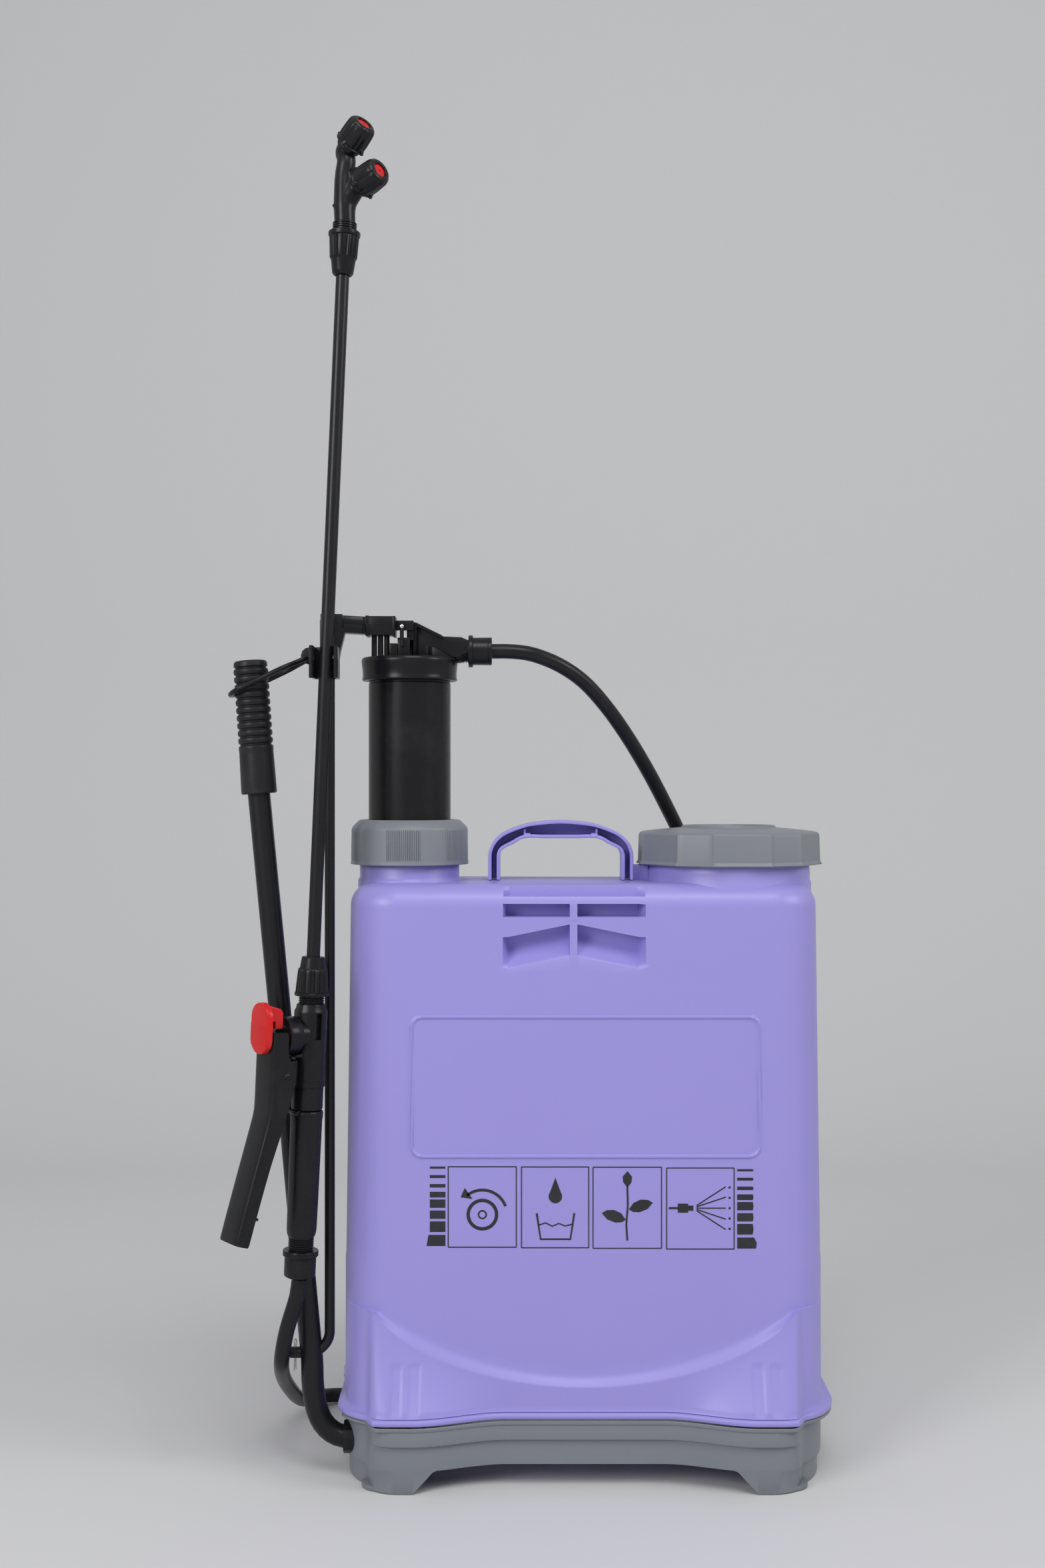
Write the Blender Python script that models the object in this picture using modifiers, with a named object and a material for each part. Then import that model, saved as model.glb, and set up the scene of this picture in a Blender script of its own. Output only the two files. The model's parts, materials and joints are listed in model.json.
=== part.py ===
"""Knapsack sprayer with a side lever pump, a hand lance and shoulder straps.

All values below are millimetres in the tank's own frame: X to the right, Y to the back,
Z up, with the origin on the floor under the middle of the tank. The helpers turn them
into metres, and the empty "sprayer" moves everything so that the finished object's
origin is the middle of its footprint.
"""
import math

import bmesh
import bpy
from mathutils import Matrix, Vector

MM = 0.001
WIDE, ROUND, SMALL = 24, 14, 10   # facets round a large, a middling and a small piece
GAP = 0.3                       # working gap between pieces that touch

# Footprint centre of the finished object, seen from the tank's own frame.
FOOTPRINT_X, FOOTPRINT_Y = -40.7, -10.5

# Tank and base
TANK_HALF_WIDTH, TANK_HALF_WIDTH_TOP = 188.0, 184.0
TANK_FRONT, TANK_BACK = -72.0, 78.0
TANK_CORNER, TANK_SHOULDER = 38.0, 18.0
TANK_TOP, TANK_FOOT = 463.0, 52.0
TANK_WALL = 3.0
FRONT_STEPS, CORNER_STEPS, BACK_STEPS, SHOULDER_STEPS = 12, 4, 6, 3
BACK_HOLLOW = 11.0              # how far the back is dished for the wearer
FLANGE_HALF_WIDTH, FLANGE_HEIGHT = 197.0, 5.0
LOBE_DEPTH, LOBE_START, LOBE_END = 18.0, 60.0, 132.0
SMILE_LOW, SMILE_HIGH, SMILE_HALF_WIDTH, SMILE_STEP = 80.0, 135.0, 165.0, 5.0
PUMP_X, PUMP_Y = -139.0, -8.0
FILL_X, FILL_Y = 119.0, 0.0
PUMP_NECK_R, PUMP_BORE_R, PUMP_NECK_TOP = 40.0, 36.6, 478.0
FILL_NECK_R, FILL_BORE_R, FILL_NECK_TOP = 64.0, 58.0, 497.0
LID_TURN = -27.2                # degrees, as the closed lid happens to stand
POCKET_LEFT, POCKET_RIGHT, POCKET_RIB = -59.6, 42.4, 3.2
POCKET_MIDDLE = -8.6
BASE_WALL, LIP_LOW, LIP_STEP = 3.0, 38.0, 4.0
FOOT_R = 13.0
ARCH_TOP, ARCH_HALF_TOP, ARCH_HALF_FOOT = 17.4, 115.0, 132.0

# Lever, crank and connecting rod
SHAFT_Y, SHAFT_Z = -52.0, 30.0
SHAFT_HOLE_R, BUSH_R, BUSH_BORE = 13.0, 12.7, 9.4
LEVER_R, LEVER_BORE = 8.75, 7.2
CRANK = 65.6
ROD_X, ROD_R, ROD_TOP, ROD_BEND = -199.0, 4.0, 632.0, 16.8
GRIP_LOW, GRIP_HIGH = Vector((-254.2, SHAFT_Y, 533.0)), Vector((-261.4, SHAFT_Y, 637.3))
GRIP_R, GRIP_RIB_R, GRIP_RIBS, GRIP_PITCH = 13.2, 14.0, 11, 6.0
CATCH_X, CATCH_Z, CATCH_FAR_X, CATCH_FAR_Z = -216.6, 638.7, -276.4, 610.2

# Pump
VESSEL_R, VESSEL_BORE, VESSEL_TOP, VESSEL_FOOT = 33.0, 30.2, 636.6, 175.0
CAP_R, CAP_LOW = 38.85, 623.4
OUTLET_Z = 647.6
BARREL_R, BARREL_BORE, BARREL_FOOT = 36.2, 34.6, 68.0

# Lance: a frame on the tube's axis, with heights counted from the floor along it
LANCE_BASE = Vector((-208.3, -77.0, 425.6))
LANCE_TILT = math.radians(2.464)
TRIGGER_TURN = math.radians(218.0)
TRIGGER_D, TRIGGER_Z, VALVE_Z = 26.0, 318.7, 348.0
LANCE_R = 5.15

# Hose: the middle of the hose passes through these points, chosen by hand
HOSE_R, HOSE_STEP = 6.0, 28.8   # radius, and the spacing of its rings
HOSE_UPPER = [
    (-72.4, -8, 647.6), (-56, -8, 647.4), (-39, -6, 645), (-18, 0, 637), (2, 10, 624), (21, 21, 604),
    (39, 35, 580), (57, 52, 552), (74, 70, 522), (87, 88, 497), (98, 104, 466), (106, 113, 428),
    (112, 118, 380), (115, 120, 320), (116, 120, 262),
]
HOSE_LOWER = [
    (116, 120, 261.7), (116, 120, 200), (113, 120, 130), (105, 119.5, 76), (88, 119, 36),
    (60, 119, 14), (20, 119, 6.8), (-40, 119, 6.4), (-100, 119, 6.4), (-150, 119, 6.4),
    (-190, 119, 6.4), (-215, 116, 7), (-229, 103, 9.6), (-235, 82, 14.6), (-238, 56, 26),
    (-239, 24, 42), (-239.2, -12, 61), (-237.4, -44, 78), (-235, -66, 92.5), (-232.6, -74, 106),
    (-229.3, -77, 121), (-225.4, -77, 134), (-221.6, -77, 147), (-219.8, -77, 159.8),
]

# Shoulder straps on the back and the loops that hold them, as lines through (Y, Z)
STRAP_ROUTE = [(90.6, 438.5), (95.5, 434), (99.6, 426), (104, 396), (106, 340), (105, 270), (101, 200),
               (96, 140), (91, 104), (88, 84), (86.9, 67)]
EAR_UPPER = [(66, 421), (80, 427), (87.4, 430), (90, 434.6), (88.6, 439.6), (82, 444), (66, 449)]
EAR_LOWER = [(66, 57), (81, 58.6), (87, 62.4), (88.2, 66.8), (86, 71), (80, 75), (66, 80)]
BAR_UPPER, BAR_LOWER, BAR_R = (84.8, 435.2), (82.5, 66.6), 2.6
EAR_OFF, EAR_THICK = 22.1, 3.8
PAD_ROUTE = [(98.4, 388), (99.9, 340), (98.9, 270), (95.8, 215)]
STRAP_X, STRAP_WIDTH, STRAP_THICK = 58.0, 38.0, 2.0
PAD_WIDTH, PAD_THICK = 52.0, 9.0

PALETTE = {
    "tank_lavender": ((0.30, 0.26, 0.64), 0.42, 0.0),
    "grey_plastic": ((0.20, 0.215, 0.24), 0.45, 0.0),
    "black_plastic": ((0.010, 0.010, 0.012), 0.35, 0.0),
    "black_rubber": ((0.012, 0.012, 0.013), 0.6, 0.0),
    "hose_black": ((0.010, 0.010, 0.012), 0.4, 0.0),
    "painted_steel": ((0.012, 0.012, 0.014), 0.25, 0.6),
    "zinc_steel": ((0.62, 0.62, 0.60), 0.3, 1.0),
    "red_plastic": ((0.68, 0.015, 0.012), 0.35, 0.0),
    "webbing": ((0.015, 0.015, 0.016), 0.85, 0.0),
    "strap_pad": ((0.02, 0.02, 0.022), 0.9, 0.0),
    "white_nylon": ((0.75, 0.75, 0.72), 0.45, 0.0),
}


def new_material(name):
    colour, roughness, metallic = PALETTE[name]
    material = bpy.data.materials.new(name)
    material.use_nodes = True
    shader = material.node_tree.nodes["Principled BSDF"]
    shader.inputs["Base Color"].default_value = (*colour, 1.0)
    shader.inputs["Roughness"].default_value = roughness
    shader.inputs["Metallic"].default_value = metallic
    return material


def new_collection(name):
    collection = bpy.data.collections.new(name)
    bpy.context.scene.collection.children.link(collection)
    return collection


for leftover in list(bpy.data.objects):
    bpy.data.objects.remove(leftover, do_unlink=True)
PARTS = new_collection("knapsack_sprayer")
CUTTERS = new_collection("cutters")
MATERIALS = {name: new_material(name) for name in PALETTE}


# ---------------------------------------------------------------- helpers
def metres(point):
    return Vector(point) * MM


def frame(name, at, parent=None, turn=(0.0, 0.0, 0.0)):
    """An empty that pieces hang on; `at` is in the parent's frame."""
    empty = bpy.data.objects.new(name, None)
    PARTS.objects.link(empty)
    empty.location = metres(at)
    empty.rotation_euler = turn
    empty.parent = parent
    return empty


def add(name, data, slot, at=(0, 0, 0), turn=(0.0, 0.0, 0.0), parent=None):
    """Put a mesh or curve in the scene; slot None makes it a cutter or a joined shape."""
    obj = bpy.data.objects.new(name, data)
    if slot is None:
        CUTTERS.objects.link(obj)
        obj.hide_render = True
        obj.display_type = "WIRE"
    else:
        PARTS.objects.link(obj)
        data.materials.append(MATERIALS[slot])
    obj.location = metres(at)
    obj.rotation_euler = turn
    obj.parent = parent
    return obj


def smooth(obj, angle=35.0):
    obj.data.shade_smooth()
    obj.data.set_sharp_from_angle(angle=math.radians(angle))
    return obj


def bevel(obj, width, segments=2, angle=40.0):
    modifier = obj.modifiers.new("edge", "BEVEL")
    modifier.width = width * MM
    modifier.segments = segments
    modifier.limit_method = "ANGLE"
    modifier.angle_limit = math.radians(angle)
    return obj


def combine(obj, other, operation="DIFFERENCE"):
    modifier = obj.modifiers.new(operation.lower(), "BOOLEAN")
    modifier.operation = operation
    modifier.object = other
    modifier.solver = "EXACT"
    return obj


def cut(obj, *others):
    for other in others:
        combine(obj, other)
    return obj


def join(obj, *others):
    for other in others:
        combine(obj, other, "UNION")
    return obj


def block(name, low, high, slot=None, parent=None, rounded=0.0):
    """A box between two corners."""
    low, high = Vector(low), Vector(high)
    mesh = bpy.data.meshes.new(name)
    bm = bmesh.new()
    bmesh.ops.create_cube(bm, size=1.0)
    bmesh.ops.scale(bm, vec=(high - low) * MM, verts=bm.verts)
    bm.to_mesh(mesh)
    bm.free()
    obj = add(name, mesh, slot, (low + high) / 2, parent=parent)
    return bevel(obj, rounded) if rounded else obj


def drum(name, radius, low, high, slot=None, parent=None, at=(0, 0), axis="Z", sides=20):
    """A cylinder of a given radius between two places on its axis; `at` is across it."""
    mesh = bpy.data.meshes.new(name)
    bm = bmesh.new()
    bmesh.ops.create_cone(bm, cap_ends=True, segments=sides, radius1=radius * MM, radius2=radius * MM,
                          depth=(high - low) * MM)
    bm.to_mesh(mesh)
    bm.free()
    middle = (low + high) / 2
    places = {"X": (middle, at[0], at[1]), "Y": (at[0], middle, at[1]), "Z": (at[0], at[1], middle)}
    turns = {"X": (0, math.pi / 2, 0), "Y": (math.pi / 2, 0, 0), "Z": (0, 0, 0)}
    obj = add(name, mesh, slot, places[axis], turns[axis], parent)
    return smooth(obj)


def turned(name, profile, slot=None, at=(0, 0, 0), turn=(0.0, 0.0, 0.0), parent=None, steps=20):
    """A turned piece. The profile holds (radius, height), down the outer side and, for a
    ring or a cup, back up the inner side."""
    mesh = bpy.data.meshes.new(name)
    bm = bmesh.new()
    verts = [bm.verts.new((radius * MM, 0.0, height * MM)) for radius, height in profile]
    for first, second in zip(verts, verts[1:]):
        if first.co.x > 0 or second.co.x > 0:
            bm.edges.new((first, second))
    if profile[0][0] > 0 or profile[-1][0] > 0:
        bm.edges.new((verts[-1], verts[0]))
    bm.to_mesh(mesh)
    bm.free()
    obj = add(name, mesh, slot, at, turn, parent)
    screw = obj.modifiers.new("turn", "SCREW")
    screw.steps = steps
    screw.render_steps = steps
    screw.use_merge_vertices = True
    screw.merge_threshold = 0.00001
    screw.use_smooth_shade = True
    return obj


def route(points, step):
    """Points about `step` apart on a smooth curve through the given points."""
    points = [Vector(point) for point in points]
    ends = [points[0] * 2 - points[1], *points, points[-1] * 2 - points[-2]]
    places = []
    for before, first, second, after in zip(ends, ends[1:], ends[2:], ends[3:]):
        count = max(1, round((second - first).length / step))
        for index in range(count):
            t = index / count
            places.append(0.5 * (2 * first + (second - before) * t
                                 + (2 * before - 5 * first + 4 * second - after) * t ** 2
                                 + (3 * first - before - 3 * second + after) * t ** 3))
    return [*places, points[-1]]


def tube(name, points, radius, slot=None, parent=None, resolution=3, radii=None, closed=False):
    """A round bar along a line of points."""
    curve = bpy.data.curves.new(name, "CURVE")
    curve.dimensions = "3D"
    curve.bevel_depth = radius * MM
    curve.bevel_resolution = resolution
    curve.use_fill_caps = not closed
    spline = curve.splines.new("POLY")
    spline.points.add(len(points) - 1)
    for index, (place, point) in enumerate(zip(points, spline.points)):
        point.co = (*metres(place), 1.0)
        point.radius = radii[index] if radii else 1.0
    spline.use_cyclic_u = closed
    return add(name, curve, slot, parent=parent)


def plate(name, outline, thickness, slot=None, at=(0, 0, 0), turn=(0.0, 0.0, 0.0), parent=None):
    """A flat outline in its own XY plane, as thick as asked about that plane."""
    curve = bpy.data.curves.new(name, "CURVE")
    curve.dimensions = "2D"
    curve.fill_mode = "BOTH"
    curve.extrude = thickness * MM / 2
    spline = curve.splines.new("POLY")
    spline.points.add(len(outline) - 1)
    for place, point in zip(outline, spline.points):
        point.co = (place[0] * MM, place[1] * MM, 0.0, 1.0)
    spline.use_cyclic_u = True
    return as_mesh(add(name, curve, None, at, turn, parent), slot)


def as_mesh(obj, slot=None):
    """Turn a curve object into a mesh object in the same place, with its caps welded."""
    bpy.context.view_layer.update()
    evaluated = obj.evaluated_get(bpy.context.evaluated_depsgraph_get())
    mesh = bpy.data.meshes.new_from_object(evaluated)
    bm = bmesh.new()
    bm.from_mesh(mesh)
    bmesh.ops.remove_doubles(bm, verts=bm.verts, dist=0.00001)
    bmesh.ops.recalc_face_normals(bm, faces=bm.faces)
    bm.to_mesh(mesh)
    bm.free()
    name, parent, placed = obj.name, obj.parent, obj.matrix_basis.copy()
    bpy.data.objects.remove(obj, do_unlink=True)
    mesh.materials.clear()
    result = add(name, mesh, slot, parent=parent)
    result.matrix_basis = placed
    return result


def loft(name, rings, slot=None, parent=None):
    """A closed body through rings of points, one ring above the other."""
    mesh = bpy.data.meshes.new(name)
    bm = bmesh.new()
    loops = [[bm.verts.new(metres(point)) for point in ring] for ring in rings]
    for lower, upper in zip(loops, loops[1:]):
        for index in range(len(lower)):
            after = (index + 1) % len(lower)
            bm.faces.new((lower[index], lower[after], upper[after], upper[index]))
    bm.faces.new(list(reversed(loops[0])))
    bm.faces.new(loops[-1])
    bmesh.ops.recalc_face_normals(bm, faces=bm.faces)
    bm.to_mesh(mesh)
    bm.free()
    return add(name, mesh, slot, parent=parent)


def direction_turn(direction):
    """Euler angles that carry +Z onto a direction."""
    return Vector(direction).to_track_quat("Z", "Y").to_euler()


# ---------------------------------------------------------------- frames and joint axes
SPRAYER = frame("sprayer", (-FOOTPRINT_X, -FOOTPRINT_Y, 0))
LEVER_AXIS = frame("lever_axis", (0, SHAFT_Y, SHAFT_Z), SPRAYER)
ROD_AXIS = frame("rod_axis", (ROD_X, SHAFT_Y, ROD_TOP), SPRAYER)
CATCH_AXIS = frame("catch_axis", (CATCH_X, SHAFT_Y, CATCH_Z), SPRAYER)
LID_AXIS = frame("lid_axis", (FILL_X, FILL_Y, 0), SPRAYER)
PUMP_AXIS = frame("pump_axis", (PUMP_X, PUMP_Y, 0), SPRAYER)
LANCE_AXIS = frame("lance_axis", LANCE_BASE, SPRAYER, (0, LANCE_TILT, 0))
VALVE_AXIS = frame("valve_axis", (0, 0, -LANCE_BASE.z), LANCE_AXIS, (0, 0, TRIGGER_TURN))
TRIGGER_AXIS = frame("trigger_axis", (TRIGGER_D, 0, TRIGGER_Z), VALVE_AXIS)


# ---------------------------------------------------------------- tank and base
def smoothstep(low, high, value):
    t = min(1.0, max(0.0, (value - low) / (high - low)))
    return t * t * (3 - 2 * t)


def smile(x):
    """Height of the curved step across the tank's lower front."""
    share = min(1.0, abs(x) / SMILE_HALF_WIDTH)
    return SMILE_LOW + (SMILE_HIGH - SMILE_LOW) * share ** 2


def tank_outline(half_width, front, back, corner, hollow, swell=None):
    """(x, y, frontness) round the tank, counter-clockwise from the left front corner.
    `swell(x)` pushes the front outwards; frontness says how much a point faces forward."""
    points = []
    front_x = half_width - corner
    for index in range(FRONT_STEPS + 1):
        x = -front_x + 2 * front_x * index / FRONT_STEPS
        points.append((x, front, 1.0))
    for centre_x, centre_y, start in ((front_x, front + corner, -90), (front_x, back - corner, 0)):
        for index in range(CORNER_STEPS + 1):
            angle = math.radians(start + 90 * index / CORNER_STEPS)
            frontness = max(0.0, -math.sin(angle))
            points.append((centre_x + corner * math.cos(angle), centre_y + corner * math.sin(angle),
                           frontness))
    for index in range(1, BACK_STEPS):
        x = front_x - 2 * front_x * index / BACK_STEPS
        dish = hollow * math.cos(math.pi * x / (2 * front_x)) ** 2
        points.append((x, back - dish, 0.0))
    for centre_x, centre_y, start in ((-front_x, back - corner, 90), (-front_x, front + corner, 180)):
        for index in range(CORNER_STEPS + 1):
            angle = math.radians(start + 90 * index / CORNER_STEPS)
            frontness = max(0.0, -math.sin(angle))
            points.append((centre_x + corner * math.cos(angle), centre_y + corner * math.sin(angle),
                           frontness))
    if swell:
        points = [(x, y - swell(x) * share, share) for x, y, share in points]
    return points[:-1] if points[0][:2] == points[-1][:2] else drop_doubles(points)


def drop_doubles(points):
    kept = []
    for point in points:
        if not kept or math.dist(point[:2], kept[-1][:2]) > 0.01:
            kept.append(point)
    if math.dist(kept[0][:2], kept[-1][:2]) < 0.01:
        kept.pop()
    return kept


def lobe(x):
    """Share of the corner lobes' swell at a place across the front."""
    return smoothstep(LOBE_START, LOBE_END, abs(x))


def lower_swell(height_share):
    """Swell of the front between the foot (0) and the smile's edge (1)."""
    return lambda x: SMILE_STEP + LOBE_DEPTH * lobe(x) * (1 - height_share) ** 1.4


def tank_rings(inset):
    """Rings of the tank's skin, or of its inside when inset is the wall thickness."""
    rings = []
    grow = -inset
    corner = TANK_CORNER - inset
    for share in (0.0, 0.3, 0.6, 0.88):
        ring = tank_outline(TANK_HALF_WIDTH + grow, TANK_FRONT - grow, TANK_BACK + grow, corner,
                            BACK_HOLLOW, lower_swell(share))
        foot = TANK_FOOT + FLANGE_HEIGHT + inset
        rings.append([(x, y, foot + share * (smile(x) - foot)) for x, y, _ in ring])
    ring = tank_outline(TANK_HALF_WIDTH + grow, TANK_FRONT - grow, TANK_BACK + grow, corner, BACK_HOLLOW)
    rings.append([(x, y, smile(x) + inset) for x, y, _ in ring])
    shoulder = TANK_SHOULDER - inset
    top = TANK_TOP - inset
    for index in range(SHOULDER_STEPS + 1):
        angle = math.radians(90 * index / SHOULDER_STEPS)
        pull = shoulder * (1 - math.cos(angle))
        ring = tank_outline(TANK_HALF_WIDTH_TOP + grow - pull, TANK_FRONT - grow + pull,
                            TANK_BACK + grow - pull, corner - pull * 0.8, BACK_HOLLOW)
        height = top - shoulder * (1 - math.sin(angle))
        rings.append([(x, y, height) for x, y, _ in ring])
    return rings


def flange_ring(height, grow):
    """Outline of the tank's bottom flange, also used for the base's lip."""
    ring = tank_outline(FLANGE_HALF_WIDTH + grow, TANK_FRONT - 3 - grow, TANK_BACK + 5 + grow,
                        TANK_CORNER + 6, BACK_HOLLOW, lower_swell(0.0))
    return [(x, y, height) for x, y, _ in ring]


def tank_skin():
    rings = tank_rings(0.0)
    foot = TANK_FOOT + FLANGE_HEIGHT
    first = [flange_ring(TANK_FOOT, 0.0), flange_ring(foot - 1, 0.0)]
    return [*first, *rings]


def pocket_cutters():
    """The grip pockets under the carry handle: a top notch, two slots, two wedge pockets."""
    front, back = TANK_FRONT - 10, TANK_FRONT + 16
    halves = ((POCKET_LEFT, POCKET_MIDDLE - POCKET_RIB, 1), (POCKET_MIDDLE + POCKET_RIB, POCKET_RIGHT, -1))
    cutters = [block("notch_cut", (POCKET_LEFT, front, 453.8), (POCKET_RIGHT, back - 8, TANK_TOP + 5))]
    for number, (left, right, lean) in enumerate(halves):
        cutters.append(block(f"slot_cut_{number}", (left, front, 438), (right, back, 447.7)))
        outer, inner = (left, right) if lean > 0 else (right, left)
        outline = [(outer, -422), (inner, -431.7), (inner, -408), (outer, -398)]
        cutters.append(plate(f"wedge_cut_{number}", outline, back - front,
                             at=(0, (front + back) / 2, 0), turn=(-math.pi / 2, 0, 0)))
    return cutters


def make_tank():
    tank = loft("tank", tank_skin(), "tank_lavender", SPRAYER)
    for number, (neck_x, neck_y, radius, top) in enumerate(
            ((PUMP_X, PUMP_Y, PUMP_NECK_R, PUMP_NECK_TOP), (FILL_X, FILL_Y, FILL_NECK_R, FILL_NECK_TOP))):
        join(tank, drum(f"neck_{number}", radius, 452, top, parent=SPRAYER, at=(neck_x, neck_y), sides=WIDE))
    inside = loft("tank_inside", tank_rings(TANK_WALL), None, SPRAYER)
    keep = block("pocket_backing", (POCKET_LEFT - 3, TANK_FRONT - 20, 395),
                 (POCKET_RIGHT + 3, TANK_FRONT + 19, TANK_TOP + 9), parent=SPRAYER)
    cut(inside, keep)
    join(tank, *strap_loops())
    cut(tank, inside)
    cut(tank, drum("pump_bore", PUMP_BORE_R, 440, PUMP_NECK_TOP + 5, parent=SPRAYER, at=(PUMP_X, PUMP_Y),
                   sides=WIDE))
    cut(tank, drum("fill_bore", FILL_BORE_R, 440, FILL_NECK_TOP + 5, parent=SPRAYER, at=(FILL_X, FILL_Y),
                   sides=WIDE))
    for cutter in pocket_cutters():
        cutter.parent = SPRAYER
        cut(tank, cutter)
    cut(tank, block("lever_notch_tank", (-210, -80, TANK_FOOT - 2), (-192.4, 34, 60), parent=SPRAYER))
    frame_bar("label_ridge", tank)
    return tank


def strap_loops():
    """A pair of ears with a bar between them for each end of each strap."""
    pieces = []
    for place, outline, bar in (("upper", EAR_UPPER, BAR_UPPER), ("lower", EAR_LOWER, BAR_LOWER)):
        for side, x in (("left", -STRAP_X), ("right", STRAP_X)):
            for number, off in enumerate((-EAR_OFF, EAR_OFF)):
                pieces.append(plate(f"{place}_ear_{side}_{number}", outline, EAR_THICK,
                                    at=(x + off, 0, 0), turn=(math.pi / 2, 0, math.pi / 2),
                                    parent=SPRAYER))
            pieces.append(drum(f"{place}_bar_{side}", BAR_R, x - EAR_OFF, x + EAR_OFF, parent=SPRAYER,
                               at=bar, axis="X", sides=ROUND))
    return pieces


def frame_bar(name, tank):
    """The thin raised frame on the tank's front, joined as four bars."""
    left, right, low, high, wide = -134.5, 136.4, 251.7, 361.4, 2.2
    front, back = TANK_FRONT - 1.2, TANK_FRONT + 1.5
    spans = ((left, low, right, low + wide), (left, high - wide, right, high),
             (left, low, left + wide, high), (right - wide, low, right, high))
    for number, (x0, z0, x1, z1) in enumerate(spans):
        join(tank, block(f"{name}_{number}", (x0, front, z0), (x1, back, z1), parent=SPRAYER))


def make_base():
    wall_half, lip_half = TANK_HALF_WIDTH, FLANGE_HALF_WIDTH - 2
    top = TANK_FOOT - GAP

    def ring(height, half_width, grow):
        outline = tank_outline(half_width, TANK_FRONT - 1 - grow, TANK_BACK + 2 + grow, TANK_CORNER + 4,
                               BACK_HOLLOW, lower_swell(0.0))
        return [(x, y, height) for x, y, _ in outline]

    base = loft("base", [ring(0, wall_half, 0), ring(LIP_LOW, wall_half, 0),
                         ring(LIP_LOW + 2, lip_half, LIP_STEP), ring(top, lip_half, LIP_STEP)],
                "grey_plastic", SPRAYER)
    inside = loft("base_inside", [ring(-5, wall_half - BASE_WALL, -BASE_WALL),
                                  ring(top - 4, wall_half - BASE_WALL, -BASE_WALL)], None, SPRAYER)
    cut(base, inside)
    deck = plate("deck_cut", [(-130, -40), (130, -40), (130, 45), (-130, 45)], 20, at=(0, 0, 50),
                 parent=SPRAYER)
    cut(base, deck)
    rib = block("shaft_rib", (-146, -76, 12), (-142, -34, top - 1), parent=SPRAYER)
    join(base, rib)
    for number, (x, y) in enumerate(foot_places()):
        join(base, drum(f"foot_pad_{number}", FOOT_R, 0, 4, parent=SPRAYER, at=(x, y)))
        join(base, drum(f"screw_boss_{number}", 7, 1, top - 1, parent=SPRAYER, at=(x, y), sides=SMALL))
        cut(base, drum(f"screw_hole_{number}", 2.3, 10, 60, parent=SPRAYER, at=(x, y), sides=SMALL))
        cut(base, drum(f"screw_well_{number}", 4.8, -5, 22, parent=SPRAYER, at=(x, y), sides=SMALL))
    arch = plate("arch_cut", [(-ARCH_HALF_FOOT, 5), (-ARCH_HALF_TOP, -ARCH_TOP), (ARCH_HALF_TOP, -ARCH_TOP),
                              (ARCH_HALF_FOOT, 5)], 400, at=(0, 0, 0), turn=(-math.pi / 2, 0, 0),
                 parent=SPRAYER)
    cut(base, arch)
    cut(base, drum("shaft_hole", SHAFT_HOLE_R, -230, -130, parent=SPRAYER, at=(SHAFT_Y, SHAFT_Z),
                   axis="X"))
    cut(base, block("lever_notch_base", (-215, -80, 33), (-188.6, 34, 60), parent=SPRAYER))
    for number, (x, y) in enumerate(foot_places()):
        turned(f"base_screw_{number + 1}", [(0, 49), (2, 49), (2, 21), (4.4, 21), (4.4, 18), (0, 18)],
               "zinc_steel", (x, y, 0), parent=SPRAYER, steps=SMALL)
    return base


def foot_places():
    return ((-158, -74), (158, -74), (158, 56), (-158, 56))


# ---------------------------------------------------------------- top fittings
def make_handle():
    """Carry handle: an arched channel, open to the front, on two legs."""
    outer = [(-75.6, 463.4), (-75.6, 492), (-71, 501), (-60, 507), (-44, 511.4), (10, 511.4), (27, 507),
             (37, 500), (41.2, 492), (41.2, 463.4)]
    inner = [(31.5, 463.4), (31.5, 486), (26, 491.5), (12, 496.3), (-46, 496.3), (-60, 491.5),
             (-65.9, 486), (-65.9, 463.4)]
    outline = [(x, -z) for x, z in [*outer, *inner]]
    handle = plate("carry_handle", outline, 30, "tank_lavender", (0, 1, 0), (-math.pi / 2, 0, 0), SPRAYER)
    groove_outer = [(-72.9, 466.5), (-72.9, 491), (-69, 498.6), (-59, 504.2), (-43.5, 508.7), (9.5, 508.7),
                    (26, 504.2), (35, 498), (38.5, 491), (38.5, 466.5)]
    groove_inner = [(34.2, 466.5), (34.2, 487), (27.5, 494), (12.5, 499), (-46.5, 499), (-61.5, 494),
                    (-68.6, 487), (-68.6, 466.5)]
    groove = [(x, -z) for x, z in [*groove_outer, *groove_inner]]
    cut(handle, plate("handle_groove", groove, 26, at=(0, -3.5, 0), turn=(-math.pi / 2, 0, 0),
                      parent=SPRAYER))
    return handle


def lid_outline(radius):
    """Six wide and six narrow flats, with a wide one nearly facing the front."""
    angles = []
    for index in range(6):
        middle = 60 * index + LID_TURN
        angles += [middle - 18, middle + 18]
    return [(radius * math.cos(math.radians(a)), radius * math.sin(math.radians(a))) for a in angles]


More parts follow.
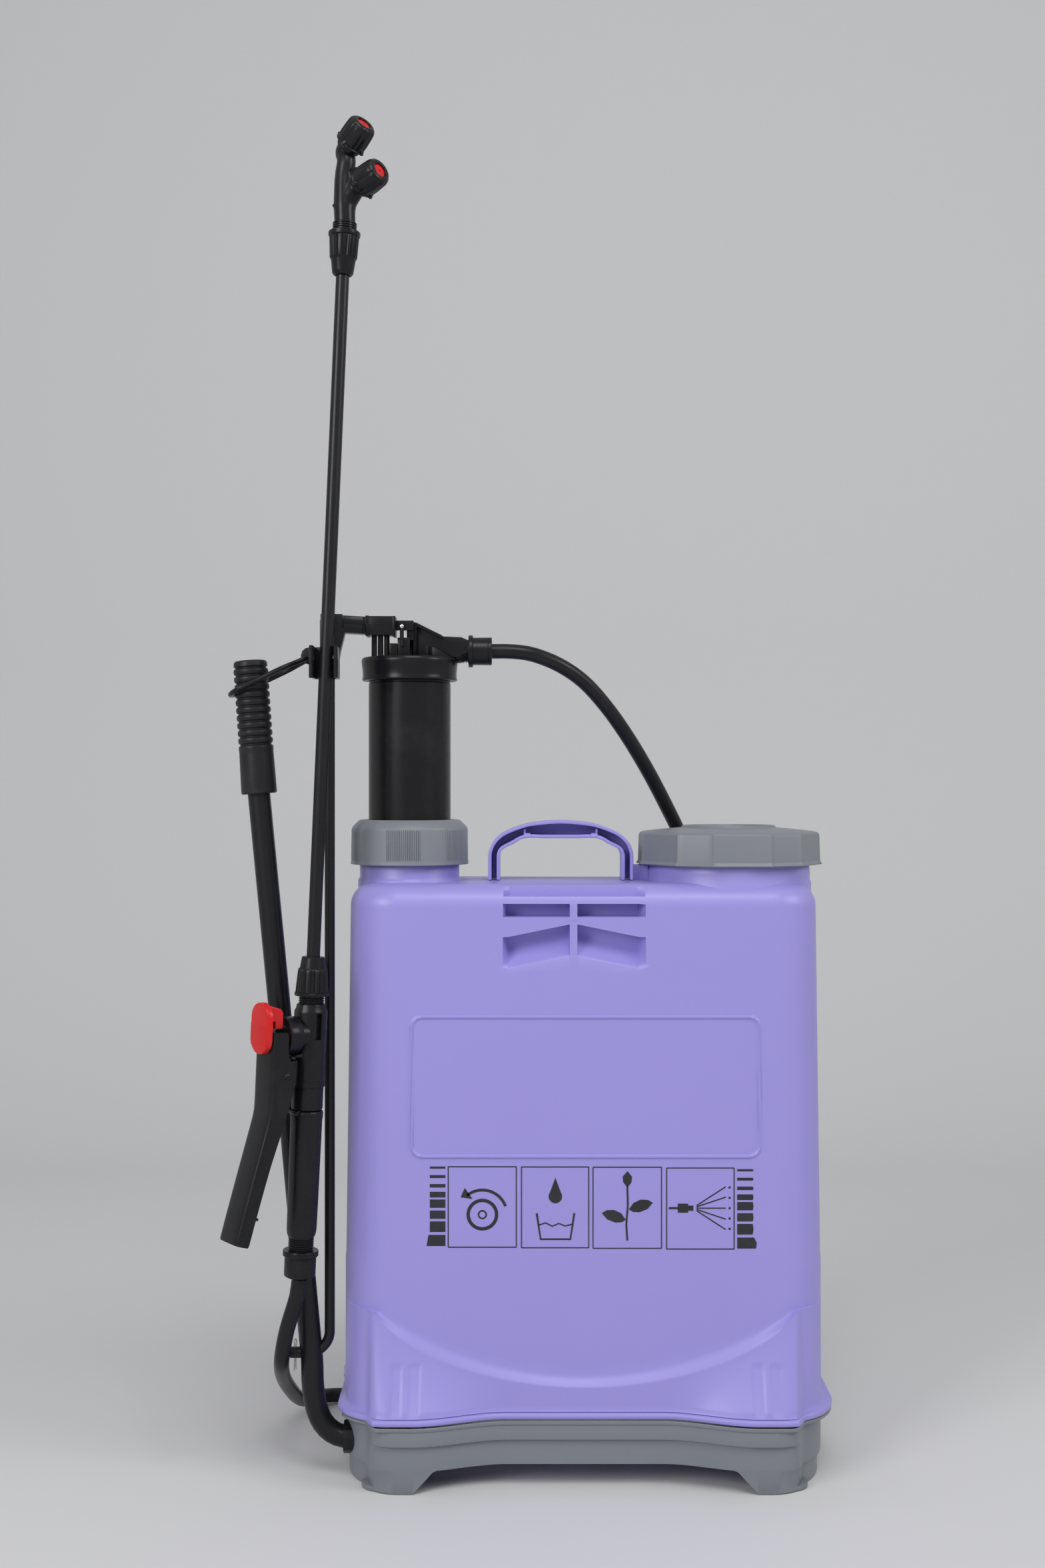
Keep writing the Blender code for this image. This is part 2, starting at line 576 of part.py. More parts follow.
def make_lid():
    lid = plate("fill_lid", lid_outline(74.5), 28, "grey_plastic", (0, 0, 490), parent=LID_AXIS)
    bevel(lid, 2.5, 2, 50)
    cut(lid, drum("lid_hollow", 65.5, 470, 501.5, parent=LID_AXIS, sides=WIDE))
    join(lid, turned("lid_ring", [(33, 507), (36, 505.5), (37, 503.3), (30, 503.3), (30, 507)],
                     parent=LID_AXIS, steps=WIDE))
    cut(lid, drum("breather_hole", 6.6, 495, 510, parent=LID_AXIS, sides=SMALL))
    turned("lid_seal", [(63, 501.2), (63, 499.1), (58.5, 499.1), (58.5, 501.2)], "black_rubber",
           parent=LID_AXIS, steps=WIDE)
    turned("lid_breather", [(0, 506), (8, 505.5), (8, 504.4), (6, 504.4), (6, 494), (0, 494)],
           "grey_plastic", parent=LID_AXIS, steps=ROUND)
    turned("strainer_basket", [(63, 498.8), (63, 497.3), (56.5, 497.3), (53, 402), (0, 402), (0, 404),
                               (51, 404), (54.5, 498.8)], "black_plastic", parent=LID_AXIS, steps=WIDE)


def make_pump():
    turned("pump_nut", [(43, 512), (46.5, 508.5), (47.3, 476.5), (41.2, 476.5), (41.2, 486),
                        (40.8, 504), (34.2, 506), (34.2, 512)], "grey_plastic", parent=PUMP_AXIS, steps=WIDE)
    turned("pump_barrel", [(40, 483), (40, 480.2), (BARREL_R, 480.2), (BARREL_R, BARREL_FOOT),
                           (BARREL_BORE, BARREL_FOOT), (BARREL_BORE, 483)], "white_nylon",
           parent=PUMP_AXIS, steps=WIDE)
    turned("barrel_gasket", [(40, 479.9), (40, 478.3), (36.9, 478.3), (36.9, 479.9)], "black_rubber",
           parent=PUMP_AXIS, steps=WIDE)
    turned("foot_valve", [(34, 76), (34, 67.5), (36, 67.5), (36, 62), (4, 62), (4, 70), (8, 76)],
           "black_plastic", parent=PUMP_AXIS, steps=ROUND)
    ball("foot_ball", 6.0, (0, 0, 80.6), PUMP_AXIS)
    turned("air_vessel", [(VESSEL_R, VESSEL_TOP), (VESSEL_R, VESSEL_FOOT), (VESSEL_BORE, VESSEL_FOOT),
                          (VESSEL_BORE, VESSEL_TOP)], "black_plastic", parent=PUMP_AXIS, steps=WIDE)
    turned("piston", [(29.9, 185), (29.9, 174.7), (33.5, 174.7), (33.5, 171), (26, 171), (26, 163),
                      (5, 163), (5, 177), (9, 185)], "white_nylon", parent=PUMP_AXIS, steps=ROUND)
    turned("cup_seal", [(33.7, 170.7), (34.0, 161), (32.6, 161), (31, 167), (26.3, 167), (26.3, 170.7)],
           "black_rubber", parent=PUMP_AXIS, steps=ROUND)
    ball("outlet_ball", 6.5, (0, 0, 188.8), PUMP_AXIS)
    make_vessel_cap()
    nut_turn = (0, math.pi / 2, 0)
    turned("pump_hose_nut", [(11, 66.3), (11, 51), (13, 51), (13, 47.4), (9.6, 47.4), (9.6, 60),
                             (5, 61), (5, 66.3)], "black_plastic", (0, 0, OUTLET_Z), nut_turn,
           PUMP_AXIS, ROUND)


def ball(name, radius, at, parent):
    mesh = bpy.data.meshes.new(name)
    bm = bmesh.new()
    bmesh.ops.create_uvsphere(bm, u_segments=12, v_segments=8, radius=radius * MM)
    bm.to_mesh(mesh)
    bm.free()
    return smooth(add(name, mesh, "zinc_steel", at, parent=parent), 60)


def make_vessel_cap():
    cap = turned("vessel_cap", [(0, 659), (9, 657.5), (11.5, 653), (12.5, 644), (30, 643), (36, 642.3),
                                (CAP_R, 639.5), (CAP_R, CAP_LOW + 1.5), (37.6, CAP_LOW), (33.3, CAP_LOW),
                                (33.3, 637), (4.5, 637), (4.5, 650), (0, 650)],
                 "black_plastic", parent=PUMP_AXIS, steps=WIDE)
    pipe = drum("outlet_pipe", 9.25, 6, 58, parent=PUMP_AXIS, at=(0, OUTLET_Z), axis="X", sides=ROUND)
    gusset = plate("outlet_gusset", [(-4, -641), (-4, -666), (4, -666), (40, -657.6), (40, -641)], 7,
                   turn=(-math.pi / 2, 0, 0), parent=PUMP_AXIS)
    join(cap, pipe, gusset)
    for number, x in enumerate((-27.0, -17.0)):
        join(cap, drum(f"cap_post_{number}", 3.4, 640, 657.2, parent=PUMP_AXIS, at=(x, -20), sides=SMALL))
    cut(cap, drum("outlet_bore", 4.0, 1, 70, parent=PUMP_AXIS, at=(0, OUTLET_Z), axis="X", sides=SMALL))
    return cap


# ---------------------------------------------------------------- arm, rod, catch
def make_bracket():
    """The arm on the pump's cap: it carries the rod's top pin, the lance clip and the catch."""
    plan = [(-141, -38), (-141, -18), (-172, -18), (-206, -42), (-206, -60), (-191, -60), (-191, -50),
            (-174, -38)]
    arm = plate("arm_bracket", plan, 15.5, "black_plastic", (0, 0, 665.4), parent=SPRAYER)
    leg = block("arm_leg", (-206, -60, 620.5), (-191, -44, 659), parent=SPRAYER)
    web = block("clip_web", (-211.4, -63, 622), (-190.2, -59, 647), parent=SPRAYER)
    left = block("clip_left", (-211.4, -85, 622), (-208.4, -59, 647), parent=SPRAYER)
    right = block("clip_right", (-193.1, -85, 622), (-190.2, -59, 647), parent=SPRAYER)
    ear = plate("catch_ear", [(-204, -649), (-216, -646), (-221, -642), (-221.4, -637), (-218, -633.5),
                              (-204, -631)], 5, at=(0, SHAFT_Y, 0), turn=(-math.pi / 2, 0, 0), parent=SPRAYER)
    join(arm, leg, web, left, right, ear)
    cut(arm, block("rod_slot", (ROD_X - 4.5, -70, 610), (ROD_X + 4.5, -40, 640.5), parent=SPRAYER))
    cut(arm, drum("rod_pin_hole", 3.3, -220, -180, parent=SPRAYER, at=(SHAFT_Y, ROD_TOP), axis="X",
                  sides=SMALL))
    cut(arm, drum("catch_hole", 2.5, -60, -44, parent=SPRAYER, at=(CATCH_X, CATCH_Z), axis="Y",
                  sides=SMALL))
    cut(arm, drum("arm_pin_hole", 2.0, -50, -10, parent=SPRAYER, at=(-143.7, 666), axis="Y", sides=SMALL))
    turned("arm_pin", [(0, 12), (1.6, 12), (1.6, -10.4), (2.4, -10.4), (2.4, -12), (0, -12)], "zinc_steel",
           (-143.7, -28, 666), (-math.pi / 2, 0, 0), SPRAYER, SMALL)
    turned("rod_top_pin", [(0, 5.4), (3, 5.4), (3, -11.0), (0, -11.0)], "zinc_steel",
           (ROD_X + 1.2, SHAFT_Y, ROD_TOP), (0, math.pi / 2, 0), SPRAYER, SMALL)
    return arm


def make_rod():
    """Connecting rod: a steel bar with an eye at its top and its foot bent in to the crank."""
    foot = -(ROD_TOP - SHAFT_Z - CRANK) + ROD_BEND
    line = [(0, 0, z) for z in (-5, -60, -200, -350, foot + 15)]
    for degrees in range(0, 61, 12):
        angle = math.radians(degrees)
        line.append((-ROD_BEND * (1 - math.cos(angle)), 0, foot - ROD_BEND * math.sin(angle)))
    rod = as_mesh(tube("connecting_rod", line, ROD_R, parent=ROD_AXIS, resolution=2), "painted_steel")
    side = -ROD_R - 0.05
    cut(rod, block("foot_trim", (-30, -10, foot - 30), (side, 10, foot + 5), parent=ROD_AXIS))
    join(rod, drum("rod_eye", 6.8, -ROD_R, ROD_R, parent=ROD_AXIS, axis="X", sides=ROUND))
    cut(rod, drum("rod_eye_hole", 3.3, -10, 10, parent=ROD_AXIS, axis="X", sides=SMALL))
    return rod


def make_catch():
    """Wire loop that drops over the lever's grip and holds it upright."""
    reach = Vector((CATCH_FAR_X - CATCH_X, 0, CATCH_FAR_Z - CATCH_Z))
    across = Vector((0, 1, 0))
    half_near, half_far, rounding = 9.0, 17.0, 12.0
    points = [across * half_near, reach * 0.12 + across * (half_near + 2), reach * 0.3 + across * half_far]
    far = reach.length - rounding
    for index in range(9):
        angle = math.radians(90 - 180 * index / 8)
        points.append(reach.normalized() * (far + rounding * math.cos(angle))
                      + across * half_far * math.sin(angle))
    points += [reach * 0.3 - across * half_far, reach * 0.12 - across * (half_near + 2), -across * half_near]
    return tube("catch_loop", points, 2.0, "black_plastic", CATCH_AXIS, resolution=2, closed=True)


# ---------------------------------------------------------------- lever
def make_lever():
    """Bent steel tube: its foot is the shaft, and its crank pin drives the rod."""
    bend = [(-124, 0, 0), (-150, 0, 0), (-176, 0, 0), (-188, 0, 0), (-197, 0, 3.5), (-204.5, 0, 11),
            (-209.5, 0, 23), (-212.2, 0, 40), (-213, 0, 61)]
    grip_low = GRIP_LOW - Vector((0, SHAFT_Y, SHAFT_Z))
    grip_high = GRIP_HIGH - Vector((0, SHAFT_Y, SHAFT_Z))
    axis = (grip_high - grip_low).normalized()
    top = grip_high - axis * 8
    points = [*route(bend, 9), Vector((-233, 0, 280)), grip_low - axis * 10, grip_low + axis * 4, top]
    inner = [points[0] + Vector((6, 0, 0)), *points[1:-1], top + axis * 6]
    lever = as_mesh(tube("lever_tube", points, LEVER_R, parent=LEVER_AXIS, resolution=3), "painted_steel")
    bore = as_mesh(tube("lever_bore", inner, LEVER_BORE, parent=LEVER_AXIS, resolution=1))
    cut(lever, bore)
    cut(lever, drum("crank_hole", 4.3, -240, -196, parent=LEVER_AXIS, at=(0, CRANK), axis="X", sides=SMALL))
    make_grip(grip_low, axis, (grip_high - grip_low).length)
    turned("crank_pin", [(0, 13.6), (4, 13.6), (4, -13), (0, -13)], "painted_steel",
           (-217, 0, CRANK), (0, math.pi / 2, 0), LEVER_AXIS, SMALL)
    make_cotter()
    turned("shaft_bush_outer", [(BUSH_R, -176), (BUSH_R, -187.6), (BUSH_BORE, -187.6), (BUSH_BORE, -176)],
           "black_plastic", (0, SHAFT_Y, SHAFT_Z), (0, math.pi / 2, 0), SPRAYER, ROUND)
    turned("shaft_bush_inner", [(BUSH_R, -138), (BUSH_R, -150), (BUSH_BORE, -150), (BUSH_BORE, -138)],
           "black_plastic", (0, SHAFT_Y, SHAFT_Z), (0, math.pi / 2, 0), SPRAYER, ROUND)
    turned("shaft_collar", [(14, -127), (14, -135), (BUSH_BORE, -135), (BUSH_BORE, -127)],
           "zinc_steel", (0, 0, 0), (0, math.pi / 2, 0), LEVER_AXIS, ROUND)


def make_cotter():
    """Split pin hanging through the crank pin's outer end."""
    pin = tube("cotter_pin", [(0, 0, 10.9), (0, 0, 5), (0, 0, -6), (0.4, 0, -14.6)], 1.0, None, LEVER_AXIS,
               resolution=2)
    pin = as_mesh(pin, "zinc_steel")
    pin.location = metres((-226, 0, CRANK))
    cut(bpy.data.objects["crank_pin"],
        drum("cotter_hole", 1.4, CRANK - 12, CRANK + 12, parent=LEVER_AXIS, at=(-226, 0), sides=SMALL))


def make_grip(low, axis, length):
    profile = [(0, length), (GRIP_R - 1.5, length), (GRIP_R, length - 1.5)]
    for index in range(GRIP_RIBS):
        height = length - 3 - index * GRIP_PITCH
        profile += [(GRIP_RIB_R, height), (GRIP_RIB_R, height - 3.2), (GRIP_R - 0.6, height - 4.6)]
    profile += [(GRIP_RIB_R, length - 72), (GRIP_RIB_R, 0.6), (GRIP_RIB_R - 0.6, 0), (LEVER_R + GAP, 0),
                (LEVER_R + GAP, length - 7), (0, length - 7)]
    return turned("lever_grip", profile, "black_rubber", low, direction_turn(axis), LEVER_AXIS, 14)


# ---------------------------------------------------------------- lance
def make_lance():
    parent = VALVE_AXIS
    turned("lance_tube", [(LANCE_R, 946), (LANCE_R, 395), (3.9, 395), (3.9, 946)], "painted_steel",
           parent=parent, steps=ROUND)
    turned("lance_nut_lower", [(8.6, 407.8), (11, 401), (12.4, 381), (13.1, 380.5), (13.1, 377.7),
                               (10.4, 377.7), (10.4, 399), (5.6, 400), (5.6, 407.8)], "black_plastic",
           parent=parent, steps=ROUND)
    make_valve_body()
    make_trigger()
    turned("lance_grip", [(12.6, 290), (12.9, 286), (11.6, 193), (10, 192), (10, 171), (7.4, 171),
                          (9.0, 200), (9.0, 290)], "black_plastic", parent=parent, steps=8)
    turned("grip_filter", [(7, 262), (7, 205), (0, 205), (0, 207), (5.6, 207), (5.6, 262)], "white_nylon",
           parent=parent, steps=SMALL)
    turned("handle_hose_nut", [(13.7, 182), (13.7, 178), (12, 177.4), (12, 161), (5, 161), (5, 169),
                               (10.4, 170), (10.4, 182)], "black_plastic", parent=parent, steps=ROUND)
    make_nozzles()


def make_valve_body():
    body = turned("valve_body", [(10, 398), (10, 371.5), (12.25, 371), (12.25, 313.2), (13, 313),
                                 (13, 307.2), (12.1, 307), (12.1, 290.4), (7.9, 290.4), (7.9, 268),
                                 (5, 268), (5, 392), (5.6, 393), (5.6, 398)], "black_plastic",
                  parent=VALVE_AXIS, steps=ROUND)
    join(body, drum("valve_barrel", 11.3, 9, 21.6, parent=VALVE_AXIS, at=(0, VALVE_Z), axis="X", sides=ROUND))
    lug = plate("trigger_lug", [(6, -330), (24, -326), (30.5, -322), (30.5, -315.5), (26, -312), (6, -308)],
                8, turn=(-math.pi / 2, 0, 0), parent=VALVE_AXIS)
    join(body, lug)
    cut(body, drum("valve_chamber", 8.2, 5.5, 19, parent=VALVE_AXIS, at=(0, VALVE_Z), axis="X", sides=SMALL))
    cut(body, drum("stem_way", 3.1, 4, 30, parent=VALVE_AXIS, at=(0, VALVE_Z), axis="X", sides=SMALL))
    cut(body, drum("trigger_hole", 2.4, -10, 10, parent=VALVE_AXIS, at=(TRIGGER_D, TRIGGER_Z), axis="Y",
                   sides=SMALL))
    along = (0, math.pi / 2, 0)
    turned("valve_cap", [(13.2, 25), (14.5, 23.8), (14.5, 14), (11.7, 14), (11.7, 22), (3.2, 22), (3.2, 25)],
           "black_plastic", (0, 0, VALVE_Z), along, VALVE_AXIS, ROUND)
    turned("valve_stem", [(0, 36.6), (2.6, 36.6), (2.6, 2), (0, 2)], "zinc_steel", (0, 0, VALVE_Z), along,
           VALVE_AXIS, SMALL)
    make_spring()
    return body


def make_spring():
    """Coil spring round the valve's stem, inside the valve chamber."""
    turns, radius, low, high, per_turn = 3, 5.8, 7.4, 17.2, 10
    points = []
    for index in range(turns * per_turn + 1):
        angle = 2 * math.pi * index / per_turn
        share = index / (turns * per_turn)
        points.append((low + (high - low) * share, radius * math.cos(angle),
                       VALVE_Z + radius * math.sin(angle)))
    return tube("valve_spring", points, 0.6, "zinc_steel", VALVE_AXIS, resolution=1)


def make_trigger():
    """Channel-shaped trigger on its pin, with the sliding lock on its upper end."""
    side = [(1, 33.3), (14, 33.3), (14, -28.7), (39, -123.7), (28, -126.7), (10, -56.7), (-6, -10.7),
            (-6, 11.3), (1, 15.3)]
    hollow = [(-12, 30.3), (11, 30.3), (11, -29.1), (36.8, -127), (22, -135), (-12, -40)]
    flat = (math.pi / 2, 0, 0)
    trigger = plate("trigger", side, 28, "black_plastic", (0, 0, 0), flat, TRIGGER_AXIS)
    cut(trigger, plate("trigger_hollow", hollow, 23, at=(0, 0, 0), turn=flat, parent=TRIGGER_AXIS))
    cut(trigger, drum("trigger_pin_hole", 2.4, -20, 20, parent=TRIGGER_AXIS, axis="Y", sides=SMALL))
    cut(trigger, block("stem_window", (-4, -16, 14.8), (11, 16, 34), parent=TRIGGER_AXIS))
    turned("trigger_pin", [(0, 15.2), (2, 15.2), (2, -15.2), (0, -15.2)], "zinc_steel",
           (TRIGGER_D, 0, TRIGGER_Z), (math.pi / 2, 0, 0), VALVE_AXIS, SMALL)
    lock = plate("trigger_lock", stadium(15, 19.5), 5, "red_plastic", (16.9, 0, 35.8),
                 (math.pi / 2, 0, math.pi / 2), TRIGGER_AXIS)
    bevel(lock, 1.0, 2, 50)
    join(lock, block("lock_hook", (3, -8, 35.3), (15, 8, 51), parent=TRIGGER_AXIS))


def stadium(half_width, half_height):
    """An upright outline with round corners."""
    radius = 9.0
    points = []
    for centre_x, centre_y, start in ((1, 1, 0), (-1, 1, 90), (-1, -1, 180), (1, -1, 270)):
        for index in range(6):
            angle = math.radians(start + 18 * index)
            points.append((centre_x * (half_width - radius) + radius * math.cos(angle),
                           centre_y * (half_height - radius) + radius * math.sin(angle)))
    return points


# Each nozzle: its middle and the way it points, in the tank's frame
NOZZLES = (
    ((-174.8, -83.0, 1039.0), (0.58, -0.51, 0.63)),
    ((-163.6, -88.0, 1004.5), (0.73, -0.61, 0.31)),
)
NOZZLE_HALF = 10.5


def make_nozzles():
    """Two-way nozzle head: a forked body with a screwed cap on each branch."""
    turned("lance_nut_upper", [(12.35, 966), (12.35, 962), (11.4, 961), (10.6, 944), (7.6, 939), (7.5, 932),
                               (5.6, 932), (5.6, 946), (9.6, 947), (9.6, 966)], "black_plastic",
           parent=VALVE_AXIS, steps=ROUND)
    foot = Vector((-184.75, -77, 972))
    body = turned("nozzle_body", [(0, 984), (8, 984), (9.3, 975), (9.3, 948), (5.6, 948), (5.6, 950),
                                  (3, 951), (3, 966), (0, 966)], "black_plastic", parent=VALVE_AXIS,
                  steps=ROUND)
    starts = (foot + Vector((0, 0, 6)), foot + Vector((2, -2, 12)))
    bends = (Vector((-184.9, -76.6, 1012)), Vector((-180.5, -76, 993.5)))
    for number, ((centre, way), start, bend) in enumerate(zip(NOZZLES, starts, bends)):
        centre, way = Vector(centre), Vector(way).normalized()
        turn = direction_turn(way)
        end = centre - way * (NOZZLE_HALF + 3)
        branch = tube(f"branch_{number}", [*route([start, bend, end], 7)], 7.2, parent=SPRAYER, resolution=2)
        join(body, as_mesh(branch))
        neck = [(0, 4.5), (7.6, 4.5), (7.6, -11.2), (9.4, -11.2), (9.4, -16), (0, -16)]
        join(body, turned(f"branch_neck_{number}", neck, None, centre, turn, SPRAYER, SMALL))
        turned(f"nozzle_cap_{number + 1}", [(10.2, 10.5), (11.5, 9), (11.7, -9.5), (11.2, -10.5), (8, -10.5),
                                           (8, 8), (5.4, 8.4), (5.4, 10.5)], "black_plastic", centre, turn,
               SPRAYER, ROUND)
        turned(f"nozzle_disc_{number + 1}", [(0.8, 9.9), (5.0, 9.9), (5.0, 8.1), (7.6, 7.7), (7.6, 7.0),
                                            (0.8, 7.0)], "red_plastic", centre, turn, SPRAYER, SMALL)
        turned(f"swirl_core_{number + 1}", [(0, 6.6), (7.0, 6.6), (7.0, 4.9), (0, 4.9)], "white_nylon",
               centre, turn, SPRAYER, SMALL)
    return body


# ---------------------------------------------------------------- hoses and straps
def make_hoses():
    for name, points in (("hose_upper", HOSE_UPPER), ("hose_lower", HOSE_LOWER)):
        tube(name, route(points, HOSE_STEP), HOSE_R, "hose_black", SPRAYER, resolution=2)


def ribbon(name, line, thickness, width, x, slot):
    """A flat band along a line through (Y, Z), `width` across."""
    line = [Vector((0, y, z)) for y, z in line]
    points = route(line, 26)
    front, back = [], []
    for index, point in enumerate(points):
        before, after = points[max(0, index - 1)], points[min(len(points) - 1, index + 1)]
        way = (after - before).normalized()
        side = Vector((0, way.z, -way.y)) * thickness / 2
        front.append(point + side)
        back.append(point - side)
    outline = [(point.y, point.z) for point in [*front, *reversed(back)]]
    return plate(name, outline, width, slot, (x, 0, 0), (math.pi / 2, 0, math.pi / 2), SPRAYER)


def make_straps():
    for side, x in (("left", -STRAP_X), ("right", STRAP_X)):
        ribbon(f"strap_{side}", STRAP_ROUTE, STRAP_THICK, STRAP_WIDTH, x, "webbing")
        bevel(ribbon(f"strap_pad_{side}", PAD_ROUTE, PAD_THICK, PAD_WIDTH, x, "strap_pad"), 3, 1, 50)


make_tank()
make_base()
make_handle()
make_lid()
make_pump()
make_bracket()
make_rod()
make_catch()
make_lever()
make_lance()
make_hoses()
make_straps()
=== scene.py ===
"""Knapsack sprayer: lavender tank on a grey base, side pump, lance, hoses and straps."""
import json
import math

import bpy
import bmesh
from mathutils import Matrix, Vector


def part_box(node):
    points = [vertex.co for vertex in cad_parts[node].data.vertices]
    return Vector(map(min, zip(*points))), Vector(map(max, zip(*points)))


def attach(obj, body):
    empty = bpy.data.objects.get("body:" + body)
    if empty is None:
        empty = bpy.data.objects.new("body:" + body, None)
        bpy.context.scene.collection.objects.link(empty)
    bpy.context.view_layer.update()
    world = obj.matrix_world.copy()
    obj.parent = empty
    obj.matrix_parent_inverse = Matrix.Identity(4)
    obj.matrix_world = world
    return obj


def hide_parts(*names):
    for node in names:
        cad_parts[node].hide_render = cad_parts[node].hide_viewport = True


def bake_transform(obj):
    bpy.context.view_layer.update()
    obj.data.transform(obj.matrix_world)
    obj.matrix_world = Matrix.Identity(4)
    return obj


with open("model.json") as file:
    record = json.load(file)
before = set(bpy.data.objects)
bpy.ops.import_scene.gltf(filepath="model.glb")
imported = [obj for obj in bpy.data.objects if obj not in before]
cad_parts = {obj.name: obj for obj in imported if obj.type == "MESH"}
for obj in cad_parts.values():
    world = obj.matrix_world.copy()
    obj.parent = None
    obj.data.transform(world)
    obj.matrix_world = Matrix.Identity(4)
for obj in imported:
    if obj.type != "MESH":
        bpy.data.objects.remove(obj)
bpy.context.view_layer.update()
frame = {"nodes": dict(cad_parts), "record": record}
nodes = frame["nodes"]
record = frame["record"]

# ---- The sprayer's own measure ------------------------------------------------------
# The sprayer is drawn in millimetres from the floor under the middle of the tank: X away
# from the pump's side, Y towards the wearer. TO_FRAME puts that drawing in the frame.
MM = 0.001
tank_low, tank_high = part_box("tank")
lid_low, lid_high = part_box("fill_lid")
ORIGIN = Vector(((tank_low.x + tank_high.x) / 2, (lid_low.y + lid_high.y) / 2, 0))
TO_FRAME = Matrix.Translation(ORIGIN) @ Matrix.Scale(MM, 4)


def at(x, y, z):
    """A place on the drawing as a point in the frame."""
    return TO_FRAME @ Vector((x, y, z))


def placed(name, data):
    """A new object in the scene."""
    thing = bpy.data.objects.new(name, data)
    bpy.context.scene.collection.objects.link(thing)
    return thing


def deselect():
    if bpy.context.mode != "OBJECT":
        bpy.ops.object.mode_set(mode="OBJECT")
    bpy.ops.object.select_all(action="DESELECT")


def work_on(piece):
    deselect()
    piece.select_set(True)
    bpy.context.view_layer.objects.active = piece


def apply_modifiers(piece):
    work_on(piece)
    for modifier in list(piece.modifiers):
        bpy.ops.object.modifier_apply(modifier=modifier.name)


# ---- Camera -------------------------------------------------------------------------
# A level camera in front of the tank, a metre and a half off, a little above the height
# of its lid.
CAMERA_PLACE, CAMERA_LENS, CAMERA_SENSOR = (-48, -1514, 540.6), 42.86, 36
camera_data = bpy.data.cameras.new("camera")
camera_data.sensor_width = CAMERA_SENSOR
camera_data.lens = CAMERA_LENS
camera_data.clip_start = 0.05
camera = placed("camera", camera_data)
camera.location = at(*CAMERA_PLACE)
camera.rotation_euler = (math.radians(90), 0, 0)
bpy.context.scene.camera = camera
bpy.context.scene.view_settings.view_transform = "Standard"


# ---- Finishes -----------------------------------------------------------------------
# Moulded plastic, rubber and painted steel share one surface: a slight change of tone
# over the piece, fine grain, and a little dust and handling that change the gloss.
DUST_COLOUR = (0.42, 0.41, 0.40, 1)
GRAIN_ROUGHENS = 0.08           # how much the grain adds to the roughness


def feed(tree, node, inputs):
    """Gives each named input a constant, or a link from another node's socket."""
    for name, value in inputs.items():
        if isinstance(value, bpy.types.NodeSocket):
            tree.links.new(value, node.inputs[name])
        else:
            node.inputs[name].default_value = value


def add(tree, kind, inputs, **settings):
    """A new node with its settings and inputs."""
    node = tree.nodes.new(kind)
    for name, value in settings.items():
        setattr(node, name, value)
    feed(tree, node, inputs)
    return node


def new_material(name):
    """A material, its node tree and its shader."""
    material = bpy.data.materials.new(name)
    material.use_nodes = True
    return material, material.node_tree, material.node_tree.nodes["Principled BSDF"]


def moulded_surface():
    group = bpy.data.node_groups.new("moulded_surface", "ShaderNodeTree")
    for name, kind in (("Colour", "Color"), ("Gloss", "Float"), ("Tone", "Float"), ("Grain", "Float"),
                       ("Dust", "Float"), ("Smears", "Float")):
        group.interface.new_socket(name, in_out="INPUT", socket_type=f"NodeSocket{kind}")
    for name, kind in (("Colour", "Color"), ("Roughness", "Float"), ("Height", "Float")):
        group.interface.new_socket(name, in_out="OUTPUT", socket_type=f"NodeSocket{kind}")
    given = add(group, "NodeGroupInput", {}).outputs
    place = add(group, "ShaderNodeTexCoord", {}).outputs["Object"]

    def noise(scale, detail, roughness=0.5):
        return add(group, "ShaderNodeTexNoise", {"Vector": place, "Scale": scale, "Detail": detail,
                                                 "Roughness": roughness}).outputs["Fac"]

    def work(operation, *values):
        return add(group, "ShaderNodeMath", dict(enumerate(values)), operation=operation).outputs[0]

    broad, smear, fine = noise(9, 4), noise(26, 6, 0.7), noise(given["Grain"], 3)
    tone = work("MULTIPLY", work("SUBTRACT", broad, 0.5), given["Tone"])
    shade = add(group, "ShaderNodeHueSaturation", {"Color": given["Colour"],
                                                   "Value": work("ADD", tone, 1.0)})
    patches = work("MULTIPLY", work("SUBTRACT", smear, 0.5), 5.0)
    patches = work("MINIMUM", work("MAXIMUM", patches, 0.0), 1.0)
    dust = add(group, "ShaderNodeMix", {"Factor": work("MULTIPLY", patches, given["Dust"]),
                                        "A": shade.outputs["Color"], "B": DUST_COLOUR}, data_type="RGBA")
    rough = work("ADD", given["Gloss"], work("MULTIPLY", fine, GRAIN_ROUGHENS))
    rough = work("ADD", rough, work("MULTIPLY", patches, given["Smears"]))
    add(group, "NodeGroupOutput", {"Colour": dust.outputs["Result"], "Roughness": rough, "Height": fine})
    return group


MOULDED = moulded_surface()


def finish(name, colour, gloss=0.4, tone=0.10, grain=900, dust=0.0, smears=0.05, bump=0.02,
           metallic=0.0, coat=0.0, shine=0.5):
    """A material on the moulded surface; gloss is its roughness, bump its grain in mm."""
    material, tree, shader = new_material(name)
    surface = add(tree, "ShaderNodeGroup", {"Colour": (*colour, 1), "Gloss": gloss, "Tone": tone,
                                            "Grain": grain, "Dust": dust, "Smears": smears},
                  node_tree=MOULDED).outputs
    relief = add(tree, "ShaderNodeBump", {"Strength": 0.3, "Distance": bump * MM,
                                          "Height": surface["Height"]})
    feed(tree, shader, {"Base Color": surface["Colour"], "Roughness": surface["Roughness"],
                        "Normal": relief.outputs["Normal"], "Metallic": metallic,
                        "Specular IOR Level": shine, "Coat Weight": coat, "Coat Roughness": 0.12})
    return material


